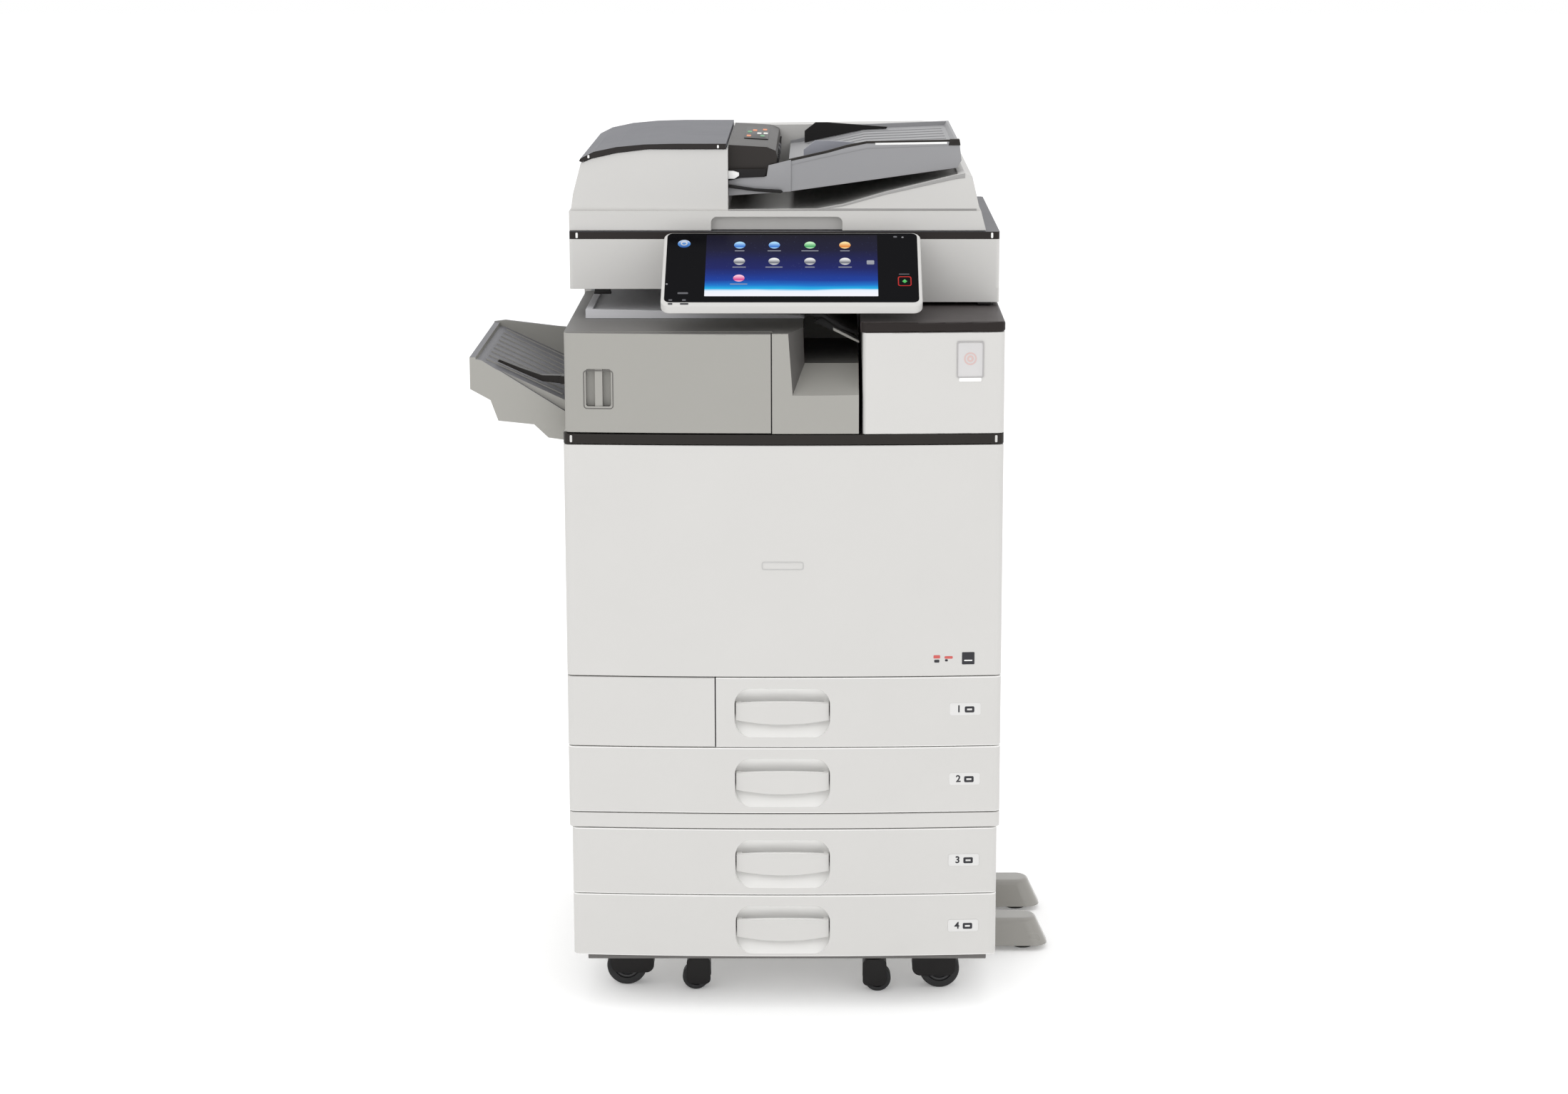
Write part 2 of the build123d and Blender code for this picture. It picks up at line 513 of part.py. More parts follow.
def side_door():
    """The right side door over the paper path, with the recess for the bypass tray."""
    x = (MAIN_X - RIGHT_SKIN + 1, MAIN_X)
    door = block(x, (DOOR_Y0, DOOR_Y1), (DOOR_Z0, DOOR_Z1), 4, Axis.X)
    door -= block((MAIN_X - 15, MAIN_X + 1), (BYPASS_Y[0] - 1, BYPASS_Y[1] + 1), (BYPASS_Z[0] - 1, BYPASS_Z[1] + 1))
    return door - block((MAIN_X - 12, MAIN_X + 1), (250, 370), (DOOR_Z1 - 26, DOOR_Z1 - 8), 6, Axis.X)


def bypass_tray():
    """The folding bypass tray, closed flat into the side door, with a finger notch at its top."""
    x = (MAIN_X - 13, MAIN_X - 0.5)
    tray = block(x, BYPASS_Y, BYPASS_Z, 5, Axis.X)
    return tray - block((MAIN_X - 7, MAIN_X + 1), (280, 340), (BYPASS_Z[1] - 12, BYPASS_Z[1] + 1))


def stabilisers():
    """Two rounded feet on brackets under the bank that stop it from tipping to the right."""
    feet = []
    for y in FEET_Y:
        low = Plane(origin=(FOOT_END_X - 50, y, FOOT_Z[0])) * RectangleRounded(100, 60, 22)
        high = Plane(origin=(FOOT_END_X - 58, y, FOOT_Z[1])) * RectangleRounded(80, 46, 20)
        foot = loft([low, high])
        tops = [e for e in foot.edges() if e.center().Z > FOOT_Z[1] - 1]
        foot = fillet(tops, 8)
        foot += block((250, 300), (y - 14, y + 14), (FOOT_Z[0] + 6, BANK_BOTTOM))
        feet.append(foot)
    return Compound(children=feet)


def stabiliser_pads():
    """The black rubber pads under the stabiliser feet."""
    return Compound(children=[rod("Z", (344, y), 14, (0, FOOT_Z[0])) for y in FEET_Y])


def caster_fork(wheel_x, wheel_y, swivel_x, radius, half_width):
    """A swivelling caster's hood with its stem and axle."""
    direction = 1 if swivel_x > wheel_x else -1
    top = radius * 2 + 6
    low = radius - 9
    span = sorted((wheel_x - direction * (radius - 6), swivel_x + direction * (radius * 0.72)))
    hood = block(span, (wheel_y - half_width - 4, wheel_y + half_width + 4), (low, top + 5), radius * 0.4, Axis.Y)
    hood -= rod("Y", (wheel_x, radius), radius + 3, (wheel_y - half_width - 1.2, wheel_y + half_width + 1.2))
    mouth_x = (span[0] - 1, span[1] + 1)
    hood -= block(mouth_x, (wheel_y - half_width - 1.2, wheel_y + half_width + 1.2), (low - 1, radius + 2))
    hood += rod("Z", (swivel_x, wheel_y), radius * 0.62, (top + 3, BANK_BOTTOM - 0.3))
    hood += rod("Y", (wheel_x, radius), AXLE_R, (wheel_y - half_width - 4, wheel_y + half_width + 4))
    return hood


def caster_wheel(wheel_x, wheel_y, radius, half_width):
    """A caster wheel with rounded tread, sunk sides and a bore for its axle."""
    wheel = rod("Y", (wheel_x, radius), radius, (wheel_y - half_width, wheel_y + half_width))
    wheel = fillet(wheel.edges(), 3)
    for side in (-1, 1):
        face_y = wheel_y + side * half_width
        sink = sorted((face_y + side, face_y - side * 3))
        cut = rod("Y", (wheel_x, radius), radius * 0.66, sink) - rod("Y", (wheel_x, radius), radius * 0.35, sink)
        wheel -= cut
    return wheel - rod("Y", (wheel_x, radius), AXLE_R + 0.05, (wheel_y - half_width - 1, wheel_y + half_width + 1))


# Feeder hinge, glasses, panel, bypass tray and caster sizes used by the functions above
HINGE_X = (-226.0, 180.0)
HINGE_Y = 664.0
HINGE_Z = 1064.0
PIN_R = 4.0
GLASSES = [((-238.0, 206.0), (212.0, 528.0)), ((-274.0, -248.0), (212.0, 528.0))]
PANEL_X = (-162.0, 184.0)
PANEL_L = 162.0
PANEL_LEAN = 29.7
PANEL_PIVOT = (147.2, 1046.0)  # y and z of the panel's top rear edge
PANEL_HINGE = (156.0, 1034.0)  # y and z of the tilt axis
PANEL_LUGS = (-70.0, 70.0)
LUG_T = 6.0
LEVER_HINGE = (-299.0, 862.5)  # x and z of the output tray lever's axis
BYPASS_Y = (140.0, 480.0)
BYPASS_Z = (500.0, 730.0)
AXLE_R = 4.0
MAIN_HALF = 12.0
SMALL_HALF = 10.0


def build():
    """Every sub-part by node name."""
    parts = {
        "bank_cabinet": bank_cabinet(),
        "bank_side_door": bank_door(),
        "stabiliser_feet": stabilisers(),
        "stabiliser_pads": stabiliser_pads(),
        "base_pan": base_pan(),
        "left_cover": left_cover(),
        "right_cover": right_cover(),
        "rear_cover": rear_cover(),
        "power_inlet": power_inlet(),
        "main_frame": main_frame(),
        "inner_front_cover": inner_front_cover(),
        "fuser_roller": rod("Y", FUSER, 20, (60, 580)) + rod("Y", FUSER, 6, (48, 592)),
        "belt_trim": belt_trim(),
        "front_cover": front_cover(),
        "lower_left_panel": front_panel(MAIN_W, (-MAIN_X, DRAWER_SEAM_X), (SEAM_DRAWERS, SEAM_COVER)),
        "finisher_housing": finisher_housing(),
        "finisher_door": finisher_door(),
        "one_bin_tray": one_bin_tray(),
        "output_tray": output_tray(),
        "output_tray_lever": tray_lever(),
        "exit_cover": exit_cover(),
        "exit_cap": exit_cap(),
        "scanner_base": scanner_base(),
        "scanner_top_frame": scanner_top_frame(),
        "scanner_glass": platen_glass(),
        "scan_carriage": scan_carriage(),
        "feeder_base": feeder_base(),
        "feed_unit": feed_unit(),
        "feeder_cover": feed_cover(),
        "feeder_input_tray": input_tray(),
        "feeder_front_fence": fence(236),
        "feeder_rear_fence": fence(560),
        "panel_housing": panel_housing(),
        "panel_screen": panel_screen(),
        "side_door": side_door(),
        "bypass_tray": bypass_tray(),
    }
    for name, front_x, front_z, tray_x, width in DRAWERS:
        parts[name + "_front"] = drawer_front(width, front_x, front_z)
        parts[name + "_tray"] = drawer_tray(tray_x, front_z)
    for number, x in enumerate(TONER_X, 1):
        parts[f"toner_bottle_{number}"] = toner_bottle(x)
    for name, x, y, swivel_x in MAIN_CASTERS:
        parts[f"caster_{name}_fork"] = caster_fork(x, y, swivel_x, MAIN_WHEEL_R, MAIN_HALF)
        parts[f"caster_{name}_wheel"] = caster_wheel(x, y, MAIN_WHEEL_R, MAIN_HALF)
    for name, x, y, swivel_x in SMALL_CASTERS:
        parts[f"caster_{name}_fork"] = caster_fork(x, y, swivel_x, SMALL_WHEEL_R, SMALL_HALF)
        parts[f"caster_{name}_wheel"] = caster_wheel(x, y, SMALL_WHEEL_R, SMALL_HALF)
    return parts


os.makedirs("parts", exist_ok=True)
for node, shape in build().items():
    export_step(Pos(*ORIGIN_SHIFT) * shape, f"parts/{node}.step")
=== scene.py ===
import math

import bmesh
import bpy
from bpy.props import FloatProperty, FloatVectorProperty, PointerProperty
from mathutils import Matrix, Vector


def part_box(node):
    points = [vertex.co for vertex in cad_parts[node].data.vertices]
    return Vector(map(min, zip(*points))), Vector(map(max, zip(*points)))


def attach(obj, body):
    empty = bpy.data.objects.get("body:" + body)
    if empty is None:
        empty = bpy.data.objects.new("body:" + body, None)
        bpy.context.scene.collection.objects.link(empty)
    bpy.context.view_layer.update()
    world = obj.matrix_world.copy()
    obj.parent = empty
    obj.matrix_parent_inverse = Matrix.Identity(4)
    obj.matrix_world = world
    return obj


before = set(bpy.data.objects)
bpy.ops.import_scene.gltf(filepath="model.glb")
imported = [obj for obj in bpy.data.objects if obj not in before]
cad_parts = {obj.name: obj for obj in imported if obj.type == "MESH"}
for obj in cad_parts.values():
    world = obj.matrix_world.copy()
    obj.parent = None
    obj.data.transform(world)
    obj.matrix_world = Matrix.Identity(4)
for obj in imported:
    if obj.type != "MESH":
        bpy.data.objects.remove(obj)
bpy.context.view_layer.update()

bl_info = {
    "name": "Office copier",
    "version": (1, 0, 0),
    "blender": (4, 5, 0),
    "location": "View3D > Sidebar > Copier",
    "description": "Finishes and detail pieces of a floor-standing office copier",
    "category": "Object",
}

MM = 0.001
COVER_LOW, COVER_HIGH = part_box("front_cover")
CENTRE_X = (COVER_LOW.x + COVER_HIGH.x) / 2
FRONT_Y = COVER_LOW.y
HALF_FRONT = (COVER_HIGH.x - COVER_LOW.x) / 2 / MM
CROWN = 11.0                 # how far the front bows out between its sides, in millimetres
CROWN_R = (HALF_FRONT ** 2 + CROWN ** 2) / (2 * CROWN)
GLASS_HEIGHT = 153.4         # of the panel's glass, along its slope
SHARP_ANGLE = math.radians(35.0)
HIGHLIGHT_X = 283.0                # of the painted highlights at the ends of the dark strips
CARD_X = 247.5               # of the card label on the exit cover
BADGE = (-1.5, 625)
WELL_LEFT = -76.5            # of the feeder's exit well
RAMP_Y = (180.3, 181.6)      # front and back of the painted shade bands along the exit ramp


# Places

def at(x, y, z):
    """A place in millimetres: x from the machine's centre, y back from its front, z from the floor."""
    return Vector((CENTRE_X + x * MM, FRONT_Y + y * MM, z * MM))


def bow(x):
    """How far back the crowned front lies at x, in millimetres."""
    return CROWN_R - math.sqrt(CROWN_R ** 2 - x * x)


def on_front(x, z, lift=0.0):
    """A frame on the crowned front: its X runs right, its Y up and its Z out towards the user."""
    turn = math.asin(x / CROWN_R)
    out = Vector((math.sin(turn), -math.cos(turn), 0))
    right = Vector((math.cos(turn), math.sin(turn), 0))
    return framed(at(x, bow(x), z) + out * lift * MM, right, Vector((0, 0, 1)))


def framed(origin, right, up):
    """A matrix with X to the right, Y up and Z out."""
    out = right.cross(up)
    columns = Matrix((right, up, out)).transposed().to_4x4()
    return Matrix.Translation(origin) @ columns


def facing(x, y, z):
    """A frame that faces the user at a place off the crowned front."""
    return framed(at(x, y, z), Vector((1, 0, 0)), Vector((0, 0, 1)))


def facing_back(x, y, z):
    """A frame that faces backwards, away from the user."""
    return framed(at(x, y, z), Vector((-1, 0, 0)), Vector((0, 0, 1)))


def panel_plane():
    """The panel glass's frame, with its origin GLASS_HEIGHT above the middle of the glass's bottom edge."""
    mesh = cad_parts["panel_screen"].data
    largest = max(mesh.polygons, key=lambda p: p.area if p.normal.z > 0.5 and p.normal.y < -0.2 else 0)
    out = largest.normal.normalized()
    right = Vector((1, 0, 0))
    up = out.cross(right).normalized()
    level = max(v.co.dot(out) for v in mesh.vertices)
    bottom = min((v.co for v in mesh.vertices if v.co.dot(out) > level - MM / 10), key=lambda c: c.dot(up))
    low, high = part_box("panel_screen")
    origin = Vector(((low.x + high.x) / 2, bottom.y, bottom.z)) + up * GLASS_HEIGHT * MM
    return framed(origin, right, up)


# Shapes

def outline_rounded(width, height, radius, steps=6):
    """The points of a rounded rectangle about the origin, anticlockwise."""
    points = []
    for corner, (sx, sy) in enumerate(((1, 1), (-1, 1), (-1, -1), (1, -1))):
        centre = Vector((sx * (width / 2 - radius), sy * (height / 2 - radius)))
        for step in range(steps + 1):
            angle = math.pi / 2 * (corner + step / steps)
            points.append(centre + Vector((math.cos(angle), math.sin(angle))) * radius)
    return points


def outline_round(radius, steps=40):
    """The points of a circle about the origin."""
    turn = 2 * math.pi / steps
    return [Vector((math.cos(i * turn) * radius, math.sin(i * turn) * radius)) for i in range(steps)]


def plate(points, low, high, edge=0.0):
    """A flat plate of an outline between two heights, its top edge softened. Sizes in millimetres."""
    shape = bmesh.new()
    bottom = [shape.verts.new((p[0] * MM, p[1] * MM, low * MM)) for p in points]
    face = shape.faces.new(bottom)
    lifted = bmesh.ops.extrude_face_region(shape, geom=[face])
    tops = [v for v in lifted["geom"] if isinstance(v, bmesh.types.BMVert)]
    bmesh.ops.translate(shape, verts=tops, vec=(0, 0, (high - low) * MM))
    bmesh.ops.recalc_face_normals(shape, faces=shape.faces)
    if edge:
        rim = [e for e in shape.edges if all(v.co.z > (high - 0.001) * MM for v in e.verts)]
        bmesh.ops.bevel(shape, geom=rim, offset=edge * MM, segments=2, profile=0.5, affect="EDGES")
    return shape


def slab(width, height, radius, low, high, edge=0.0):
    """A plate with the outline of a rounded rectangle."""
    return plate(outline_rounded(width, height, radius), low, high, edge)


def join(shape, loops):
    """Makes the faces between each loop of corners and the next."""
    for near, far in zip(loops, loops[1:]):
        for i in range(len(near)):
            following = (i + 1) % len(near)
            shape.faces.new((near[i], near[following], far[following], far[i]))


def ring(outer, inner, low, high):
    """A flat ring between two outlines that have the same number of points."""
    shape = bmesh.new()
    loops = []
    for points, level in ((outer, low), (outer, high), (inner, high), (inner, low)):
        loops.append([shape.verts.new((p[0] * MM, p[1] * MM, level * MM)) for p in points])
    join(shape, loops + loops[:1])
    bmesh.ops.recalc_face_normals(shape, faces=shape.faces)
    return shape


def dome(radius, height, rings=5, steps=36):
    """A low dome on a round base, as a lens or a key cap has."""
    shape = bmesh.new()
    loops = []
    for level in range(rings):
        angle = math.pi / 2 * level / rings
        reach = radius * math.cos(angle)
        points = outline_round(reach, steps)
        loops.append([shape.verts.new((p.x * MM, p.y * MM, height * math.sin(angle) * MM)) for p in points])
    join(shape, loops)
    crown = shape.verts.new((0, 0, height * MM))
    for i in range(steps):
        shape.faces.new((loops[-1][i], loops[-1][(i + 1) % steps], crown))
    shape.faces.new(list(reversed(loops[0])))
    return shape


def profile_bar(points, near, far, edge):
    """A bar with a profile in X and Z, pulled from y near to y far, placed in the machine's frame."""
    shape = bmesh.new()
    front = [shape.verts.new(at(x, near, z)) for x, z in points]
    face = shape.faces.new(front)
    pulled = bmesh.ops.extrude_face_region(shape, geom=[face])
    backs = [v for v in pulled["geom"] if isinstance(v, bmesh.types.BMVert)]
    bmesh.ops.translate(shape, verts=backs, vec=(0, (far - near) * MM, 0))
    bmesh.ops.recalc_face_normals(shape, faces=shape.faces)
    bmesh.ops.bevel(shape, geom=shape.edges, offset=edge * MM, segments=2, profile=0.5, affect="EDGES")
    return shape


def roller(x, z, radius, near, far, steps=40):
    """A roller along Y with small chamfers, placed in the machine's frame."""
    shape = bmesh.new()
    loops = []
    chamfer = min(1.0, radius * 0.15)
    for y, r in ((near, radius - chamfer), (near + chamfer, radius), (far - chamfer, radius), (far, radius - chamfer)):
        points = outline_round(r, steps)
        loops.append([shape.verts.new(at(x + p.x, y, z + p.y)) for p in points])
    join(shape, loops)
    shape.faces.new(loops[0])
    shape.faces.new(list(reversed(loops[-1])))
    bmesh.ops.recalc_face_normals(shape, faces=shape.faces)
    return shape


def added(name, data):
    """A new object in the scene."""
    made = bpy.data.objects.new(name, data)
    bpy.context.scene.collection.objects.link(made)
    return made


def piece(name, shape, body, material, place=None):
    """Puts a shape into the scene as a piece that rides on a body."""
    mesh = bpy.data.meshes.new(name)
    shape.to_mesh(mesh)
    shape.free()
    mesh.shade_smooth()
    mesh.set_sharp_from_angle(angle=SHARP_ANGLE)
    mesh.materials.append(material)
    made = added(name, mesh)
    if place is not None:
        made.matrix_world = place
    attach(made, body)


def beam(name, points, near, far, edge, body, slot, material):
    """A profile bar put into the scene."""
    piece(name, profile_bar(points, near, far, edge), body, material)


def digit(name, text, height, body, slot, material, place):
    """A number as a thin raised mesh."""
    curve = bpy.data.curves.new(name, "FONT")
    curve.body = text
    curve.size = height * MM * 1.4
    curve.extrude = 0.1 * MM
    curve.offset = 0.35 * MM
    curve.align_x = "CENTER"
    curve.align_y = "CENTER"
    temporary = added(name + "_curve", curve)
    bpy.context.view_layer.update()
    mesh = bpy.data.meshes.new_from_object(temporary.evaluated_get(bpy.context.evaluated_depsgraph_get()))
    bpy.data.objects.remove(temporary)
    shape = bmesh.new()
    shape.from_mesh(mesh)
    piece(name, shape, body, material, place)


# Shader effects that several materials share

COLOUR, FLOAT, VECTOR = "NodeSocketColor", "NodeSocketFloat", "NodeSocketVector"
PALE = (0.8, 0.8, 0.8, 1)
DUST = (0.55, 0.54, 0.52, 1)
STARS = (0.25, 0.3, 0.6, 1)
BUMP_DISTANCE = 0.0002


def new_group(name, inputs, outputs):
    """An empty shader group with named sockets."""
    group = bpy.data.node_groups.new(name, "ShaderNodeTree")
    for label, kind, value in inputs:
        socket = group.interface.new_socket(label, in_out="INPUT", socket_type=kind)
        socket.default_value = value
    for label, kind in outputs:
        group.interface.new_socket(label, in_out="OUTPUT", socket_type=kind)
    return group, group.nodes.new("NodeGroupInput").outputs, group.nodes.new("NodeGroupOutput").inputs


def node(tree, kind, *feeds, **values):
    """A shader node with its settings and named input values.

    feeds go to its inputs in order: a socket is linked, a value is set and None leaves the input alone."""
    made = tree.nodes.new(kind)
    for key, value in values.items():
        if hasattr(made, key):
            setattr(made, key, value)
        else:
            made.inputs[key.replace("_", " ")].default_value = value
    for entry, feed in zip(made.inputs, feeds):
        if isinstance(feed, bpy.types.NodeSocket):
            tree.links.new(feed, entry)
        elif feed is not None:
            entry.default_value = feed
    return made


def maths(tree, operation, *feeds):
    """The result of one operation on sockets or values."""
    return node(tree, "ShaderNodeMath", *feeds, operation=operation).outputs[0]


def mixed(tree, factor, first, second):
    """Two colours mixed. A Mix node's colours are its inputs 6 and 7 and its output 2."""
    return node(tree, "ShaderNodeMix", factor, *[None] * 5, first, second, data_type="RGBA").outputs[2]


def noise(tree, place, **values):
    """A noise texture's value at a place."""
    return node(tree, "ShaderNodeTexNoise", place, **values).outputs[0]


def alignment(tree, direction):
    """The cosine between the surface's normal and a direction."""
    normal = node(tree, "ShaderNodeNewGeometry").outputs["Normal"]
    return node(tree, "ShaderNodeVectorMath", normal, direction, operation="DOT_PRODUCT").outputs["Value"]


def grain_group():
    """Fine moulded grain: a height for bump, a varied roughness and a faintly mottled colour."""
    inputs = [("Colour", COLOUR, PALE), ("Mottle", FLOAT, 0.03), ("Grain size", FLOAT, 1500.0),
              ("Roughness", FLOAT, 0.45), ("Spread", FLOAT, 0.08)]
    group, given, leave = new_group("Moulded grain", inputs, [("Colour", COLOUR), ("Roughness", FLOAT),
                                                              ("Height", FLOAT)])
    link = group.links.new
    place = node(group, "ShaderNodeTexCoord").outputs["Object"]
    fine = node(group, "ShaderNodeTexNoise", place, Detail=3.0)
    link(given["Grain size"], fine.inputs["Scale"])
    signed = maths(group, "SUBTRACT", noise(group, place, Scale=9.0, Detail=4.0), 0.5)
    scaled = node(group, "ShaderNodeVectorMath", given["Colour"], operation="SCALE")
    link(maths(group, "MULTIPLY_ADD", signed, given["Mottle"], 1.0), scaled.inputs["Scale"])
    link(scaled.outputs[0], leave["Colour"])
    link(maths(group, "MULTIPLY_ADD", signed, given["Spread"], given["Roughness"]), leave["Roughness"])
    link(fine.outputs[0], leave["Height"])
    return group


def wear_group():
    """Lightens a colour where the surface turns over an edge: edge wear, and a painted highlight where the edges catch
    the light.
    """
    inputs = [("Colour", COLOUR, PALE), ("Edge colour", COLOUR, (1, 1, 1, 1)), ("Rounded normal", VECTOR, (0, 0, 1)),
              ("Amount", FLOAT, 0.3)]
    group, given, leave = new_group("Edge wear", inputs, [("Colour", COLOUR)])
    turned = node(group, "ShaderNodeMapRange", alignment(group, given["Rounded normal"]), 0.995, 0.8, 0.0, 1.0)
    amount = maths(group, "MULTIPLY", turned.outputs[0], given["Amount"])
    group.links.new(mixed(group, amount, given["Colour"], given["Edge colour"]), leave["Colour"])
    return group


def dust_group():
    """A thin film of dust on surfaces that face up."""
    group, given, leave = new_group("Settled dust", [("Colour", COLOUR, PALE), ("Amount", FLOAT, 0.1)],
                                    [("Colour", COLOUR)])
    height = alignment(group, (0, 0, 1))
    upward = node(group, "ShaderNodeMapRange", height, 0.7, 1.0, 0.0, 1.0)
    cloud = noise(group, node(group, "ShaderNodeTexCoord").outputs["Object"], Scale=40.0, Detail=5.0)
    patchy = maths(group, "MULTIPLY", upward.outputs[0], cloud)
    amount = maths(group, "MULTIPLY", patchy, given["Amount"])
    group.links.new(mixed(group, amount, given["Colour"], DUST), leave["Colour"])
    return group


MAKERS = {"grain": grain_group, "wear_and_highlight": wear_group, "dust": dust_group}
GROUPS = {}
FINISHES = {}


def place_effect(tree, name, **values):
    """A shared effect, made the first time it is asked for, placed in a material with its own values."""
    if name not in GROUPS:
        GROUPS[name] = MAKERS[name]()
    made = tree.nodes.new("ShaderNodeGroup")
    made.node_tree = GROUPS[name]
    for key, value in values.items():
        made.inputs[key.replace("_", " ")].default_value = value
    return made


def rgba(colour):
    """A colour with full alpha."""
    return (colour[0], colour[1], colour[2], 1.0)


def blank_material(name):
    """A material with only its shader and output."""
    material = bpy.data.materials.new(name)
    material.use_nodes = True
    tree = material.node_tree
    return material, tree, tree.nodes["Principled BSDF"]


def shared(fill):
    """Makes the material of each name once, and fills it in."""
    def once(name, *values, **named):
        if name not in FINISHES:
            FINISHES[name], tree, shader = blank_material(name)
            fill(tree, shader, *values, **named)
        return FINISHES[name]
    return once


def setting(shader, **values):
    """Sets a shader's inputs by name."""
    for key, value in values.items():
        shader.inputs[key.replace("_", " ")].default_value = value


def grained(tree, shader, colour, **values):
    """Gives a shader the grain's colour and roughness, and returns the grain."""
    grains = place_effect(tree, "grain", Colour=rgba(colour), **values)
    tree.links.new(grains.outputs["Colour"], shader.inputs["Base Color"])
    tree.links.new(grains.outputs["Roughness"], shader.inputs["Roughness"])
    return grains


@shared
def plastic(tree, shader, colour, rough=0.45, bump=0.12, edge=0.6, wear_and_highlight=0.25, dust=0.06, mottle=0.04, coat=0.0,
            shine=0.4, second=None, third=None):
    """Moulded plastic with grain, softened edges, edge wear with a painted highlight, and a little dust.

    second and third are (colour, axis, threshold): faces turned further along the axis than the threshold take that
    colour, which paints the light or shade that falls on those faces."""
    link = tree.links.new
    grains = grained(tree, shader, colour, Mottle=mottle, Roughness=rough)
    rounded = node(tree, "ShaderNodeBevel", edge * MM, samples=4).outputs["Normal"]
    bumped = node(tree, "ShaderNodeBump", Strength=bump, Distance=BUMP_DISTANCE)
    link(grains.outputs["Height"], bumped.inputs["Height"])
    link(rounded, bumped.inputs["Normal"])
    link(bumped.outputs["Normal"], shader.inputs["Normal"])
    paint = grains.outputs["Colour"]
    # Each tone is painted light or painted shade on the faces turned along its axis.
    for tone in (second, third):
        if tone:
            other, axis, threshold = tone
            paint = mixed(tree, maths(tree, "GREATER_THAN", alignment(tree, axis), threshold), paint, rgba(other))
    # The lighter edge colour is edge wear and a painted highlight along the edges.
    lighter = [min(1.0, c * 1.25 + 0.03) for c in colour]
    worn_and_lit = place_effect(tree, "wear_and_highlight", Edge_colour=rgba(lighter), Amount=wear_and_highlight)
    link(paint, worn_and_lit.inputs["Colour"])
    link(rounded, worn_and_lit.inputs["Rounded normal"])
    dusty = place_effect(tree, "dust", Amount=dust)
    link(worn_and_lit.outputs["Colour"], dusty.inputs["Colour"])
    link(dusty.outputs["Colour"], shader.inputs["Base Color"])
    setting(shader, Specular_IOR_Level=shine)
    if coat:
        setting(shader, Coat_Weight=coat, Coat_Roughness=0.15)


@shared
def metal(tree, shader, colour, rough=0.35):
    """Sheet steel with a mottled grain."""
    grains = grained(tree, shader, colour, Mottle=0.25, Grain_size=400.0, Roughness=rough)
    bumped = node(tree, "ShaderNodeBump", Strength=0.08, Distance=BUMP_DISTANCE)
    tree.links.new(grains.outputs["Height"], bumped.inputs["Height"])
    tree.links.new(bumped.outputs["Normal"], shader.inputs["Normal"])
    setting(shader, Metallic=0.9)


@shared
def glass(tree, shader):
    """Clear greenish glass, with fingerprints in its roughness."""
    grained(tree, shader, (0.85, 0.93, 0.9), Mottle=0.05, Grain_size=60.0, Roughness=0.04, Spread=0.05)
    setting(shader, Transmission_Weight=0.92, IOR=1.5)


@shared
def gloss_black(tree, shader):
    """Black glass with a faint smear in its gloss."""
    grained(tree, shader, (0.003, 0.003, 0.004), Mottle=0.2, Grain_size=30.0, Roughness=0.16, Spread=0.1)
    setting(shader, Specular_IOR_Level=0.02)


@shared
def lit(tree, shader, stops, strength=1.0, waver=0.0, sparkle=0.0):
    """A lit surface whose colour runs up its height through the stops, as (height, colour)."""
    place = node(tree, "ShaderNodeTexCoord").outputs["Generated"]
    split = node(tree, "ShaderNodeSeparateXYZ", place)
    stretch = node(tree, "ShaderNodeMapping", place, Scale=(1.0, 3.5, 1.0))
    wave = noise(tree, stretch.outputs[0], Scale=2.2, Detail=2.0)
    ramp = node(tree, "ShaderNodeValToRGB", maths(tree, "MULTIPLY_ADD", wave, waver, split.outputs["Y"]))
    elements = ramp.color_ramp.elements
    for element, (position, colour) in ((elements[0], stops[0]), (elements[1], stops[-1])):
        element.position, element.color = position, rgba(colour)
    for position, colour in stops[1:-1]:
        elements.new(position).color = rgba(colour)
    glow = ramp.outputs["Color"]
    if sparkle:
        dots = node(tree, "ShaderNodeTexVoronoi", place, Scale=60.0).outputs["Distance"]
        glow = mixed(tree, maths(tree, "LESS_THAN", dots, sparkle), glow, STARS)
    tree.links.new(glow, shader.inputs["Emission Color"])
    setting(shader, Emission_Strength=strength, Base_Color=(0.002, 0.002, 0.003, 1), Roughness=0.2,
            Specular_IOR_Level=0.05)


# Settings a user would change

def colour(name, description, default):
    """A colour setting."""
    return FloatVectorProperty(name=name, description=description, default=default, subtype="COLOR", size=3,
                               min=0, max=1)


def length(name, description, default, low, high):
    """A length setting in metres."""
    return FloatProperty(name=name, description=description, default=default, min=low, max=high,
                         subtype="DISTANCE", unit="LENGTH")


class CopierFinish(bpy.types.PropertyGroup):
    """Colours of the casings."""

    body: colour("Body", "Warm white casing", (0.580, 0.572, 0.556))
    grey: colour("Grey", "Finisher and side tray", (0.330, 0.323, 0.300))
    dark: colour("Dark trim", "Belt strip and small black parts", (0.016, 0.013, 0.011))
    cap: colour("Caps", "Dark cap on the exit cover", (0.048, 0.040, 0.040))
    lid: colour("Feeder lid", "Blue-grey lid of the feeder", (0.088, 0.090, 0.108))


class CopierPanel(bpy.types.PropertyGroup):
    """Layout of the operation panel's screen."""

    width: length("Screen width", "Lit area of the touch screen", 0.230, 0.05, 0.3)
    height: length("Screen height", "Lit area of the touch screen", 0.1365, 0.05, 0.15)
    glow: FloatProperty(name="Glow", description="Brightness of the screen", default=1.0, min=0, max=5)


class CopierLabels(bpy.types.PropertyGroup):
    """Labels on the drawers and covers."""

    digit: length("Number height", "Height of the drawer numbers", 0.0095, 0.003, 0.03)
    drop: length("Drop", "From a drawer's top seam to its label", 0.045, 0.01, 0.08)


